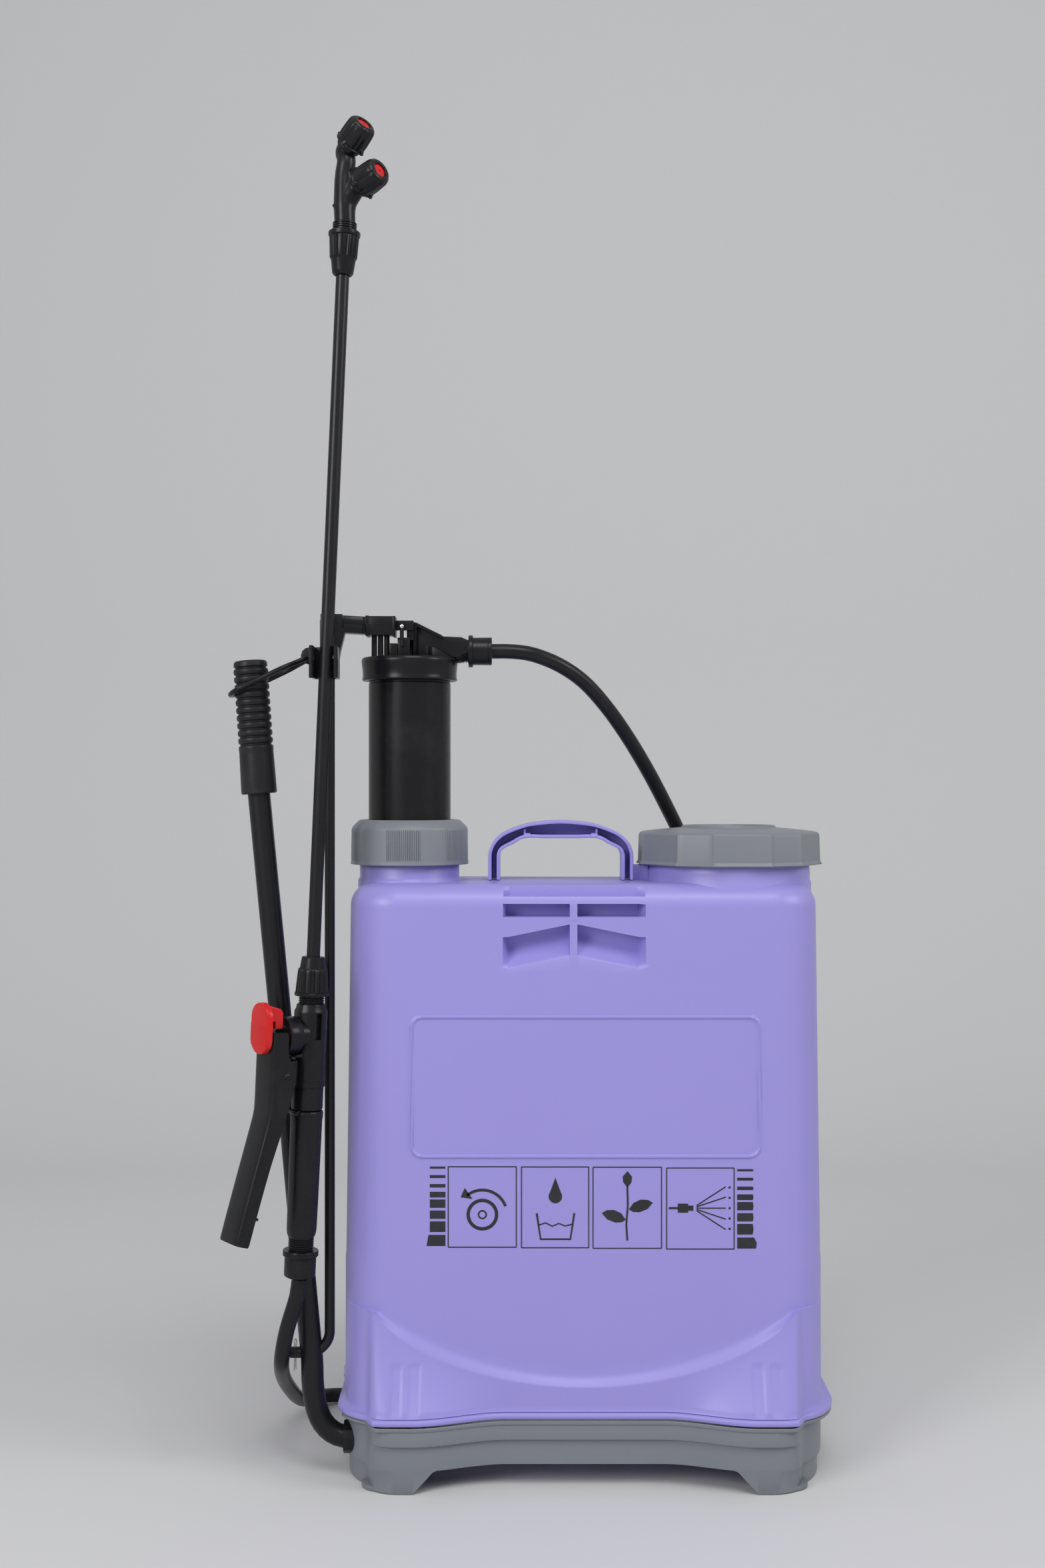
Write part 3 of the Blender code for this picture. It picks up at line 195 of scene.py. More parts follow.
SHEEN = {"shine": 0.25}         # the black parts reflect less than the bright ones
LAVENDER = finish("tank_polyethylene", (0.330, 0.291, 0.700), gloss=0.34, tone=0.05, grain=700, dust=0.01)
GREY = finish("grey_moulding", (0.200, 0.215, 0.240), gloss=0.38, tone=0.10, grain=800, dust=0.04)
BLACK = finish("black_moulding", (0.0080, 0.0080, 0.0095), gloss=0.24, tone=0.3, grain=1100, dust=0.012,
               **SHEEN)
RUBBER = finish("grip_rubber", (0.012, 0.012, 0.014), gloss=0.36, tone=0.3, grain=1500, dust=0.03, **SHEEN)
HOSE = finish("hose_pvc", (0.010, 0.010, 0.012), gloss=0.26, tone=0.2, grain=1200, dust=0.01, **SHEEN)
PAINT = finish("painted_tube", (0.008, 0.008, 0.010), gloss=0.30, tone=0.3, grain=300, smears=0.12,
               coat=0.1, **SHEEN)
ZINC = finish("zinc_plate", (0.62, 0.62, 0.60), gloss=0.20, tone=0.3, bump=0.01, metallic=1.0)
RED = finish("red_moulding", (0.640, 0.012, 0.012), gloss=0.26, tone=0.10, shine=0.35)
NYLON = finish("natural_nylon", (0.72, 0.71, 0.66), gloss=0.38, tone=0.08)

# The record's slots, each with its finish. A finish that has several slots goes by its first.
CARRIED = {"tank_lavender": LAVENDER, "grey_plastic": GREY, "black_plastic": BLACK,
           "black_rubber": RUBBER, "hose_black": HOSE, "painted_steel": PAINT, "zinc_steel": ZINC,
           "red_plastic": RED, "white_nylon": NYLON, "webbing": BLACK, "strap_pad": BLACK}
for entry in record["subparts"]:
    slots = nodes[entry["node"]].data.materials
    slots.clear()
    slots.append(CARRIED[entry["material_slot"]])


def settle(piece, material, body, *stands_for, slot=None, place=Matrix.Identity(4), angle=35):
    """Ends a piece: its drawing goes into the frame, then its finish, body and CAD nodes."""
    apply_modifiers(piece)
    piece.data.transform(TO_FRAME @ place @ piece.matrix_world)
    piece.matrix_world = Matrix.Identity(4)
    bpy.ops.object.shade_smooth_by_angle(angle=math.radians(angle))
    piece.data.materials.clear()
    piece.data.materials.append(material)
    if body:
        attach(piece, body)
    if stands_for:
        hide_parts(*stands_for)
    return piece


# ---- Hoses --------------------------------------------------------------------------
# Two lengths of 12 mm black PVC hose in one run: from the pump's outlet over the top and
# down behind the tank, then along the floor and up into the lance's handle.
HOSE_R, HOSE_SIDES = 6.0, 20
HOSE_UPPER = [
    (-72.4, -8, 647.6), (-56, -8, 647.4), (-39, -6, 645), (-18, 0, 637), (2, 10, 624), (21, 21, 604),
    (39, 35, 580), (57, 52, 552), (74, 70, 522), (87, 88, 497), (98, 104, 466), (106, 113, 428),
    (112, 118, 380), (115, 120, 320), (116, 120, 262),
]
HOSE_LOWER = [
    (116, 120, 261.7), (116, 120, 200), (113, 120, 130), (105, 119.5, 76), (88, 119, 36),
    (60, 119, 14), (20, 119, 6.8), (-40, 119, 6.4), (-100, 119, 6.4), (-150, 119, 6.4),
    (-190, 119, 6.4), (-215, 116, 7), (-229, 103, 9.6), (-235, 82, 14.6), (-238, 56, 26),
    (-239, 24, 42), (-239.2, -12, 61), (-237.4, -44, 78), (-235, -66, 92.5), (-232.6, -74, 106),
    (-229.3, -77, 121), (-225.4, -77, 134), (-221.6, -77, 147), (-219.8, -77, 159.8),
]


def smooth_line(points, step=1, spans=None):
    """Points on the smooth curve through the given ones, a step apart or at equal spans."""
    points = [Vector(p) for p in points]
    ends = [points[0] * 2 - points[1], *points, points[-1] * 2 - points[-2]]
    line = [points[0]]
    for a, b, c, d in zip(ends, ends[1:], ends[2:], ends[3:]):
        count = spans or max(1, round((c - b).length / step))
        for index in range(1, count + 1):
            t = index / count
            line.append(0.5 * (2 * b + (c - a) * t + (2 * a - 5 * b + 4 * c - d) * t * t
                               + (3 * b - a - 3 * c + d) * t ** 3))
    return line


def loft(name, rings, capped=True, closed=False):
    """A skin over rings of equal count, with flat ends."""
    mesh = bpy.data.meshes.new(name)
    bm = bmesh.new()
    rows = [[bm.verts.new(p) for p in ring] for ring in rings]
    pairs = list(zip(rows, rows[1:])) + ([(rows[-1], rows[0])] if closed else [])
    count = len(rows[0])
    for low, high in pairs:
        for i in range(count):
            j = (i + 1) % count
            bm.faces.new((low[i], low[j], high[j], high[i]))
    if capped and not closed:
        bm.faces.new(reversed(rows[0]))
        bm.faces.new(rows[-1])
    bmesh.ops.recalc_face_normals(bm, faces=bm.faces)
    bm.to_mesh(mesh)
    bm.free()
    return placed(name, mesh)


def heading(line, index):
    """The way a line runs at one of its points."""
    return (line[min(index + 1, len(line) - 1)] - line[max(index - 1, 0)]).normalized()


def tube_rings(line, radii, sides):
    """Rings square to a line, carried along it without twist."""
    rings = []
    side = None
    for index, point in enumerate(line):
        way = heading(line, index)
        if side is None:
            side = way.orthogonal().normalized()
        side = (side - way * side.dot(way)).normalized()
        across = way.cross(side)
        radius = radii[index] if hasattr(radii, "__len__") else radii
        rings.append([point + (side * math.cos(a) + across * math.sin(a)) * radius
                      for a in (2 * math.pi * k / sides for k in range(sides))])
    return rings


def line_length(line):
    return sum((b - a).length for a, b in zip(line, line[1:]))


def hose(name, node, points):
    """A length of hose along the given points, from start to end."""
    line = smooth_line(points, 6)
    tube = loft(name, tube_rings(line, HOSE_R, HOSE_SIDES))
    settle(tube, HOSE, None, node, angle=60)
    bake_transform(tube)
    line_length(line) * MM


hose("hose_upper_run", "hose_upper", HOSE_UPPER)
hose("hose_lower_run", "hose_lower", HOSE_LOWER)


# ---- Tank ---------------------------------------------------------------------------
# One blow-moulded polyethylene shell with rounded corners and a dished back. Low on its
# front is a stepped apron, and under the carry handle are pockets for the fingers.
HALF_FOOT, HALF_TOP, FRONT, BACK, CORNER, DISH = 188.0, 184.0, -72.0, 78.0, 38.0, 11.0
FLANGE_HALF, FLANGE_HIGH, TANK_TOP, SHOULDER = 197.0, 57.0, 463.0, 18.0
APRON_HALF, APRON_TIP, APRON_MIDDLE, APRON_STEP, LOBE_DEPTH = 164.0, 135.0, 84.0, 5.0, 18.0
POCKET_LEFT, RIB_LEFT, RIB_RIGHT, POCKET_RIGHT, POCKET_DEPTH = -59.6, -11.8, -5.4, 42.4, 16.0
WEDGE_LOW, WEDGE_HIGH, WEDGE_RISE = 398.0, 422.0, 9.8
SLOT_LOW, SLOT_HIGH, NOTCH_LOW, NOTCH_BACK = 438.0, 447.7, 453.8, -62.5
LABEL_MIDDLE, LABEL_HALF, LABEL_ROUND, LABEL_RIDGE = (0.95, 306.6), (134.4, 53.8), 8.0, 1.3
LOBE_START, LOBE_END = 60, 132          # where each corner's lobe swells out of the apron
PANELS = ((-149.2, -140.6), (-135.8, -126.3), (128.4, 137.8), (142.0, 152.6))
PANEL_TOP, PANEL_DEPTH = 94.7, 1.0
FACE_TOP, LEVER_NOTCH, NOTCH_FRONT, NOTCH_REAR = 168, -192.4, -80, 34


def blend_step(low, high, value):
    t = min(1.0, max(0.0, (value - low) / (high - low)))
    return t * t * (3 - 2 * t)


def spaced(*spans):
    """Values from each (start, stop, step) in turn, with the last stop."""
    values = []
    for start, stop, step in spans:
        count = max(1, round(abs(stop - start) / step))
        values += [start + (stop - start) * i / count for i in range(count)]
    return [*values, spans[-1][1]]


def around(corner_steps, back_steps, front_lines):
    """Stations round the tank: (kind, side, share), counter-clockwise from the front left."""
    stations = [("front", 0, x) for x in front_lines]
    for kind, side in (("front_corner", 1), ("back_corner", 1)):
        stations += [(kind, side, i / corner_steps) for i in range(1, corner_steps + 1)]
        stations += [("side", 1, 0.5)] if kind == "front_corner" else []
    stations += [("back", 0, 1 - 2 * i / back_steps) for i in range(1, back_steps)]
    for kind, side in (("back_corner", -1), ("front_corner", -1)):
        stations += [(kind, side, 1 - i / corner_steps) for i in range(0, corner_steps)]
        stations += [("side", -1, 0.5)] if kind == "back_corner" else []
    return stations


def section(stations, half, front, back, corner):
    """(x, y, facing) at each station; facing is 1 on the front and 0 from the sides back."""
    points = []
    flat = half - corner
    for kind, side, share in stations:
        sine, cosine = math.sin(math.radians(90 * share)), math.cos(math.radians(90 * share))
        points.append({
            "front": (flat * share, front, 1),
            "front_corner": (side * (flat + corner * sine), front + corner * (1 - cosine), cosine),
            "side": (side * half, (front + back) / 2, 0),
            "back_corner": (side * (flat + corner * cosine), back - corner * (1 - sine), 0),
            "back": (flat * share, back - DISH * math.cos(math.pi * share / 2) ** 2, 0)}[kind])
    return points


def apron_high(x):
    share = min(1.0, abs(x) / APRON_HALF)
    return APRON_MIDDLE + (APRON_TIP - APRON_MIDDLE) * share ** 2


def apron_low(x):
    """Lower edge of the apron's slope; the slope narrows to a point at each end."""
    share = min(1.0, abs(x) / APRON_HALF)
    return apron_high(x) - (8 + 7 * share ** 2) * (1 - share ** 7) - 0.4


def swell(x, height_share):
    """How far the apron stands forward, from the foot (0) to its slope's lower edge (1)."""
    lobes = blend_step(LOBE_START, LOBE_END, abs(x)) * (1 - height_share) ** 1.4
    ends = 1 - 0.5 * blend_step(162.5, 169, abs(x))
    return (APRON_STEP + LOBE_DEPTH * lobes) * ends


def wedge_share(x):
    """0 at the pockets' outer edges, 1 at the rib between them."""
    if x < RIB_LEFT:
        share = (x - POCKET_LEFT) / (RIB_LEFT - POCKET_LEFT)
    else:
        share = (POCKET_RIGHT - x) / (POCKET_RIGHT - RIB_RIGHT)
    return min(1.0, max(0.0, share))


def pocket_depth(x, z, lift):
    """Depth of the finger pockets at a place; lift is how far the wedge's edges have risen."""
    low, high = WEDGE_LOW + lift, WEDGE_HIGH + lift
    if not (POCKET_LEFT < x < RIB_LEFT or RIB_RIGHT < x < POCKET_RIGHT):
        return 0.0
    if SLOT_LOW < z < SLOT_HIGH:
        return POCKET_DEPTH
    if low < z < high:
        return POCKET_DEPTH * math.sin(math.pi / 2 * min(1.0, (z - low) / (high - low) / 0.8))
    return 0.0


def label_ridge(x, z):
    """Height of the thin raised frame round the label's place."""
    dx = abs(x - LABEL_MIDDLE[0]) - LABEL_HALF[0] + LABEL_ROUND
    dz = abs(z - LABEL_MIDDLE[1]) - LABEL_HALF[1] + LABEL_ROUND
    off = math.hypot(max(dx, 0), max(dz, 0)) + min(max(dx, dz), 0) - LABEL_ROUND
    return LABEL_RIDGE * (1 - blend_step(0.4, 1.5, abs(off)))


def panel_recess(x, z):
    """The two shallow strips pressed in each end of the apron."""
    for left, right in PANELS:
        inside = min(x - left, right - x, PANEL_TOP - z)
        if inside > -0.2:
            return PANEL_DEPTH * blend_step(-0.2, 0.9, inside)
    return 0.0


def tank_rows():
    """Rows of the skin above the flange: a share of the apron, slope or face, or a height."""
    rows = [("apron", share) for share in spaced((0, 1, 0.045))]
    rows += [("slope", share) for share in (0.1, 0.25, 0.45, 0.65, 0.85, 1.0)]
    rows += [("face", share) for share in spaced((0.08, 1, 0.1))]
    heights = spaced((172, 249, 7), (249, 262, FINE), (262, 350, 7), (350, 364, FINE), (364, 392, 4))
    heights += [WEDGE_LOW - EDGE, *spaced((WEDGE_LOW + EDGE, WEDGE_HIGH - EDGE, FINE)), WEDGE_HIGH + EDGE]
    heights += [425, 428, 431, 434, SLOT_LOW - EDGE, SLOT_LOW + EDGE, 440.5, 443, 445.5,
                SLOT_HIGH - EDGE, SLOT_HIGH + EDGE, 450, 452, NOTCH_LOW - EDGE, NOTCH_LOW + EDGE]
    heights += [TANK_TOP - SHOULDER * (1 - math.sin(math.radians(turn))) for turn in spaced((31, 90, 5))]
    return rows + [("wall", z) for z in heights]


FINE, COARSE, EDGE = 1.1, 3.6, 0.3      # the skin's steps, and half the width of a sharp edge
FLAT_HALF = 148                         # half the width of the front's flat
lines = [*spaced((-FLAT_HALF, -124, FINE), (-124, -64, COARSE)), POCKET_LEFT - EDGE,
         *spaced((POCKET_LEFT + EDGE, RIB_LEFT - EDGE, 1.6)), RIB_LEFT + EDGE, RIB_RIGHT - EDGE,
         *spaced((RIB_RIGHT + EDGE, POCKET_RIGHT - EDGE, 1.6)), POCKET_RIGHT + EDGE,
         *spaced((48, 124, COARSE), (124, FLAT_HALF, FINE))]
stations = around(22, 44, [x / FLAT_HALF for x in lines])
flange_back, flange_front, flange_corner = BACK + 5, FRONT - 3, CORNER + 6


def notched(x, y):
    """The flange is cut short where the lever passes."""
    return (max(x, LEVER_NOTCH), y) if NOTCH_FRONT < y < NOTCH_REAR else (x, y)


rings = []
for z, inward, toward in (
    (52.0, 1.4, 0), (52.4, 0.4, 0), (53.4, 0, 0), (55.2, 0, 0), (56.2, 0.5, 0), (56.8, 1.6, 0),
    (57.0, 3.2, 0), (57.6, 0, 0.72), (58.8, 0, 0.92)):
    outer = section(stations, FLANGE_HALF - inward, flange_front + inward, flange_back - inward,
                    flange_corner - inward)
    inner = section(stations, HALF_FOOT, FRONT, BACK, CORNER)
    ring = []
    for (x0, y0, facing), (x1, y1, _) in zip(outer, inner):
        x, y = x0 + (x1 - x0) * toward, y0 + (y1 - y0) * toward
        ring.append((*notched(x, y - swell(x, 0) * facing), z))
    rings.append(ring)

foot = FLANGE_HIGH + 4
for kind, value in tank_rows():
    nominal = value if kind == "wall" else 100
    half = HALF_FOOT - (HALF_FOOT - HALF_TOP) * min(1, max(0, (nominal - APRON_TIP) / 310))
    rise = max(0.0, nominal - (TANK_TOP - SHOULDER))
    pull = SHOULDER - math.sqrt(max(0.0, SHOULDER ** 2 - rise ** 2))
    ring = []
    for x, y, facing in section(stations, half - pull, FRONT + pull, BACK - pull, CORNER - 0.8 * pull):
        z, forward = nominal, 0.0
        if kind == "apron":
            z = foot + (apron_low(x) - foot) * value
            forward = swell(x, value) - (panel_recess(x, z) if facing > 0.9 else 0)
        elif kind == "slope":
            z = apron_low(x) + (apron_high(x) - apron_low(x)) * value
            forward = swell(x, 1) * (1 - blend_step(-0.15, 1.05, value)) * (value < 1)
        elif kind == "face":
            z = apron_high(x) + (FACE_TOP - apron_high(x)) * value
        elif facing == 1:
            lift = WEDGE_RISE * wedge_share(x)
            spread = min(blend_step(386, 397, z), 1 - blend_step(423, 437, z))
            z += lift * spread
            forward = label_ridge(x, z) - pocket_depth(x, z, lift)
            if z > NOTCH_LOW and POCKET_LEFT < x < POCKET_RIGHT:
                y = max(y, NOTCH_BACK)
        ring.append((x, y - forward * facing, z))
    rings.append(ring)

tank = loft("tank_shell", rings)


def cut(piece, cutter):
    """Takes the cutter's shape out of the piece and removes the cutter."""
    work_on(piece)
    well = piece.modifiers.new("well", "BOOLEAN")
    well.operation = "DIFFERENCE"
    well.object = cutter
    bpy.ops.object.modifier_apply(modifier=well.name)
    bpy.data.objects.remove(cutter)


def drum(name, radius, low, high, x, y, sides=64):
    deselect()
    bpy.ops.mesh.primitive_cylinder_add(vertices=sides, radius=radius, depth=high - low,
                                        location=(x, y, (low + high) / 2))
    bpy.context.object.name = name
    return bpy.context.object


PUMP_X, PUMP_Y, FILL_X, FILL_Y = -139.0, -8.0, 119.0, 0.0
PUMP_R, FILL_R = 36.9, 58.0     # the bores of the two necks


def shift(x, y, z):
    return Matrix.Translation((x, y, z))


def rotate(degrees, axis):
    return Matrix.Rotation(math.radians(degrees), 4, axis)


def aim(way):
    """Turns the Z axis to point a given way."""
    return Vector(way).normalized().to_track_quat("Z", "Y").to_matrix().to_4x4()


SIDEWAYS = rotate(90, "Y")
FILL, PUMP = shift(FILL_X, FILL_Y, 0), shift(PUMP_X, PUMP_Y, 0)
cut(tank, drum("fill_well", FILL_R, 390, 480, FILL_X, FILL_Y))
cut(tank, drum("pump_well", PUMP_R, 63, 480, PUMP_X, PUMP_Y))
settle(tank, LAVENDER, "root", "tank", angle=40)


def turned(name, profile, steps=64, closed=False):
    """A turned piece: (radius, height) points spun round the Z axis."""
    deselect()
    mesh = bpy.data.meshes.new(name)
    mesh.from_pydata([(r, 0, z) for r, z in profile], [(i, i + 1) for i in range(len(profile) - 1)]
                     + ([(len(profile) - 1, 0)] if closed else []), [])
    piece = placed(name, mesh)
    work_on(piece)
    bpy.ops.object.mode_set(mode="EDIT")
    bpy.ops.mesh.select_all(action="SELECT")
    bpy.ops.mesh.spin(steps=steps, angle=math.tau, center=(0, 0, 0), axis=(0, 0, 1))
    bpy.ops.mesh.select_all(action="SELECT")
    bpy.ops.mesh.remove_doubles(threshold=0.002)
    bpy.ops.mesh.normals_make_consistent(inside=False)
    bpy.ops.object.mode_set(mode="OBJECT")
    return piece


# The two necks are part of the same moulding: the wide one for filling, the narrow one
# for the pump, each with a bead under its thread.
fill_neck = turned("fill_neck", [
    (FILL_R, 440), (FILL_R, 496), (59, 497), (62, 497), (63, 496), (63, 479), (64.6, 477), (65.4, 470),
    (65.4, 464), (66.4, 461.5), (66.4, 440)], 96, closed=True)
settle(fill_neck, LAVENDER, "root", place=FILL)
pump_neck = turned("pump_neck", [
    (PUMP_R, 440), (PUMP_R, 477), (37.4, 478), (39.4, 478), (40, 477), (40, 466.5), (40.8, 464.6),
    (41.5, 463.6), (41.5, 440)], 96, closed=True)
settle(pump_neck, LAVENDER, "root", place=PUMP)


def thread(start, pitch, turns, root, crest, steps, way=1):
    """(radius, height) points of a screw thread; steps are the four heights in a turn."""
    return [(radius, start + way * pitch * turn + way * step) for turn in range(turns)
            for radius, step in zip((root, crest, crest, root), steps)]


def round_ring(angles, reaches, height):
    """A level ring of points, each at its own angle and reach."""
    return [(r * math.cos(a), r * math.sin(a), height) for a, r in zip(angles, reaches)]


def slab(name, outline, near, far):
    """An outline of (x, z) points as a plate between two Y places."""
    return loft(name, [[(x, near, z) for x, z in outline], [(x, far, z) for x, z in outline]])


def bar(name, low, high):
    """A box between two corners."""
    deselect()
    middle = [(a + b) / 2 for a, b in zip(low, high)]
    bpy.ops.mesh.primitive_cube_add(size=1, location=middle, scale=[b - a for a, b in zip(low, high)])
    bpy.context.object.name = name
    return bpy.context.object


def rounded(piece, width, segments=2, angle=40):
    """Rounds the edges sharper than the angle; applied when the piece is settled."""
    bevel = piece.modifiers.new("rounded", "BEVEL")
    bevel.width = width
    bevel.segments = segments
    bevel.limit_method = "ANGLE"
    bevel.angle_limit = math.radians(angle)
    return piece


def applied(piece):
    apply_modifiers(piece)
    bpy.ops.object.transform_apply(location=True, rotation=True, scale=True)
    return piece


def merged(piece, *others):
    """Others joined to the piece as one object, each with its own rounding kept."""
    for part in (piece, *others):
        applied(part)
    deselect()
    for part in (piece, *others):
        part.select_set(True)
    bpy.context.view_layer.objects.active = piece
    bpy.ops.object.join()
    return piece


# ---- Carry handle -------------------------------------------------------------------
# An arched channel of the tank's plastic, open to the front, with a flange along each
# edge and two cross ribs. A small lug stands between it and the wide neck.
HANDLE_MIDDLE, HANDLE_NEAR, HANDLE_FAR, HANDLE_WEB = -17.2, -14.0, 16.0, 10.5
HANDLE_OUTER = [
    (58.4, 463.4), (58.4, 472), (58.4, 480), (57.9, 486.4), (54.4, 494.3), (45.8, 501.8), (29.3, 508.2),
    (13, 510.7), (0, 511.4)]
HANDLE_INNER = [
    (48.9, 463.4), (48.9, 472), (48.9, 480), (48.6, 484.6), (46, 488.6), (38, 492.6), (29, 497), (13, 497),
    (0, 497)]


def arch_stations(half):
    """Stations at equal shares of each span, so that two outlines pair up."""
    return smooth_line([*[(HANDLE_MIDDLE - x, 0, z) for x, z in half],
                        *[(HANDLE_MIDDLE + x, 0, z) for x, z in reversed(half[:-1])]], spans=5)


FLANGE = 2.7
rings = []
for outer, inner in zip(arch_stations(HANDLE_OUTER), arch_stations(HANDLE_INNER)):
    share = FLANGE / (outer - inner).length
    lip, lap = outer.lerp(inner, share), inner.lerp(outer, share)
    rings.append([(p.x, y, p.z) for p, y in (
        (outer, HANDLE_NEAR), (lip, HANDLE_NEAR), (lip, HANDLE_WEB), (lap, HANDLE_WEB), (lap, HANDLE_NEAR),
        (inner, HANDLE_NEAR), (inner, HANDLE_FAR), (outer, HANDLE_FAR))])
handle = rounded(loft("carry_handle_channel", rings), 0.7)
ribs = [rounded(bar(f"handle_rib_{side}", (HANDLE_MIDDLE + side * 29 - 0.9, -9, 498.2),
                    (HANDLE_MIDDLE + side * 29 + 0.9, 12, 504.5)), 0.3) for side in (-1, 1)]
pads = [rounded(bar(f"handle_pad_{side}", (HANDLE_MIDDLE + side * 27 - 2.5, HANDLE_NEAR + 0.5, 497.4),
                    (HANDLE_MIDDLE + side * 27 + 2.5, -4, 501)), 0.4) for side in (-1, 1)]
settle(merged(handle, *ribs, *pads), LAVENDER, "root", "carry_handle", angle=30)
lug = rounded(bar("neck_lug", (40.0, -6, 461), (54.0, 6, 475.5)), 1.0)
settle(lug, LAVENDER, "root")

# ---- Base ---------------------------------------------------------------------------
# A grey moulded tray under the tank, 3 mm thick: a lip band under the tank's flange, four
# corner feet with an arch between them, and a hole for the lever's shaft on the left.
BASE_TOP, BASE_WALL_THICK, ARCH_TOP, ARCH_HALF_TOP, ARCH_HALF_FOOT = 51.7, 3.0, 17.4, 115.0, 132.0
SHAFT_Y, SHAFT_Z, SHAFT_HOLE_R = -52.0, 30.0, 13.0
BASE_ROWS = [  # z, half width, front, lip's share
    (0.0, 184.6, -71.6, 0), (0.9, 185.2, -72.2, 0), (14.5, 185.4, -72.4, 0), (17.0, 187.6, -72.8, 0),
    (19.0, 188.0, -73.0, 0), (26.0, 188.0, -73.0, 0), (35.8, 188.0, -73.0, 0), (36.6, 188.0, -73.0, 0.25),
    (37.2, 188.0, -73.0, 0.9), (38.6, 188.0, -73.0, 1), (44.0, 188.0, -73.0, 1), (47.6, 188.0, -73.0, 1),
    (48.2, 192.0, -73.0, 1), (48.7, 195.4, -73.6, 1), (49.4, 196.2, -74.0, 1), (51.2, 196.2, -74.0, 1),
    (BASE_TOP, 195.6, -73.4, 1)]
base_lines = spaced((-FLAT_HALF, -124, 1.6), (-124, 124, 6), (124, FLAT_HALF, 1.6))
base_stations = around(22, 44, [x / FLAT_HALF for x in base_lines])
rings = []
for z, half, front, lip_share in BASE_ROWS:
    ring = []
    for x, y, facing in section(base_stations, half, front, BACK - (73 + front) + 3, CORNER + 4):
        step = 3.4 * lip_share * (1 - blend_step(160.0, 163.5, abs(x)))
        ring.append((x, y - (swell(x, 0) * 0.96 + step) * facing, z))
    rings.append(ring)
base = loft("base_shell", rings, capped=False)
shell = base.modifiers.new("wall", "SOLIDIFY")
shell.thickness = BASE_WALL_THICK
shell.offset = -1
applied(base)
arch_outline = [
    (-ARCH_HALF_FOOT - 3, -5), (-ARCH_HALF_FOOT, 0), (-ARCH_HALF_TOP - 1.5, ARCH_TOP - 1.2),
    (-ARCH_HALF_TOP + 1.5, ARCH_TOP), (ARCH_HALF_TOP - 1.5, ARCH_TOP),
    (ARCH_HALF_TOP + 1.5, ARCH_TOP - 1.2), (ARCH_HALF_FOOT, 0), (ARCH_HALF_FOOT + 3, -5)]
cut(base, slab("arch_cut", arch_outline, -130, 130))
shaft_cut = drum("shaft_cut", SHAFT_HOLE_R, -230, -150, 0, 0, 48)
shaft_cut.data.transform(SIDEWAYS @ shift(0, 0, -190))
shaft_cut.location = (-190, SHAFT_Y, SHAFT_Z)
cut(base, shaft_cut)
cut(base, bar("lever_notch_cut", (-215, NOTCH_FRONT, 33), (-188.6, NOTCH_REAR, 60)))
settle(base, GREY, "root", "base", angle=35)
FEET = ((-158, -74), (158, -74), (158, 56), (-158, 56))
for number, (x, y) in enumerate(FEET, start=1):
    pad = turned(f"foot_pad_{number}", [
        (0, 1.2), (9.5, 1.2), (9.5, 0.3), (13.6, 0.3), (14, 1.0), (14, 3.6), (7.2, 4), (7.2, 50),
        (0, 50)], 32)
    settle(pad, GREY, "root", place=shift(x, y, 0))

# ---- Fill lid -----------------------------------------------------------------------
# A grey screw lid with six wide and six narrow flats, a thin flare at its foot, a raised
# ring on top and a breather button in the middle. It turns with the lid's body.
LID = FILL @ rotate(-27.2, "Z")
LID_R, LID_FOOT, LID_EDGE = 74.5, 476.0, 502.0
LID_SIDES = [(even, LID_FOOT + rise, r) for even, rise, r in (
    (0, 1, 62.0), (0, 0, 63.0), (0, 0, LID_R - 0.6), (0, 0.8, LID_R + 0.2), (0, 2.0, LID_R - 0.6),
    (0, 3.2, LID_R - 1.3))]
LID_SIDES += [(even, LID_EDGE + rise, r) for even, rise, r in (
    (0, -3.0, LID_R - 1.9), (0, -1.4, LID_R - 2.3), (0.02, -0.3, LID_R - 3.3), (0.05, 0.3, LID_R - 5.0),
    (0.1, 0.9, LID_R - 8.0), (0.35, 2.0, 56.0), (0.8, 2.9, 46.0), (1, 3.3, 39.6), (1, 3.6, 38.4),
    (1, 5.0, 37.4), (1, 5.4, 36.4), (1, 5.2, 35.0), (1, 3.6, 34.2), (1, 3.0, 31.0), (1, 2.2, 20.0),
    (1, 2.0, 9.2))]


def lid_radius(angle, radius, roundness):
    """The twelve-sided outline's reach at an angle, eased towards a circle."""
    turn = (math.degrees(angle) + 18) % 60
    if turn < 36:
        reach = math.cos(math.radians(18)) / math.cos(math.radians(turn - 18))
    else:
        reach = math.cos(math.radians(12)) / math.cos(math.radians(turn - 48))
    seam = min(abs(turn - edge) for edge in (0, 36, 60))
    ridge = 0.35 * max(0.0, 1 - seam / 0.7)
    return radius * (reach + (1 - reach) * roundness) + ridge * (1 - roundness)


SECTOR = (-18, -17.3, -15, -10, -5, 0, 5, 10, 15, 17.3, 18, 18.7, 22, 26, 30, 34, 38, 41.3)
lid_angles = [math.radians(60 * sector + offset) for sector in range(6) for offset in SECTOR]
rings = [round_ring(lid_angles, [lid_radius(a, r, even) for a in lid_angles], z) for even, z, r in LID_SIDES]
lid = loft("lid_shell", rings, capped=False)
skirt = turned("lid_inside", [(62.0, 477), (65.3, 477), (65.3, 500), (9, 500)], 64)
settle(merged(lid, skirt), GREY, "lid", "fill_lid", place=LID, angle=22)
breather = turned("breather_button", [
    (0, 505.8), (3.2, 505.7), (5.4, 505.2), (6.2, 504.6), (8.2, 504.4), (9.2, 504.1), (9.2, 503.2),
    (0, 503.2)], 40)
settle(breather, GREY, "lid", "lid_breather", place=FILL)

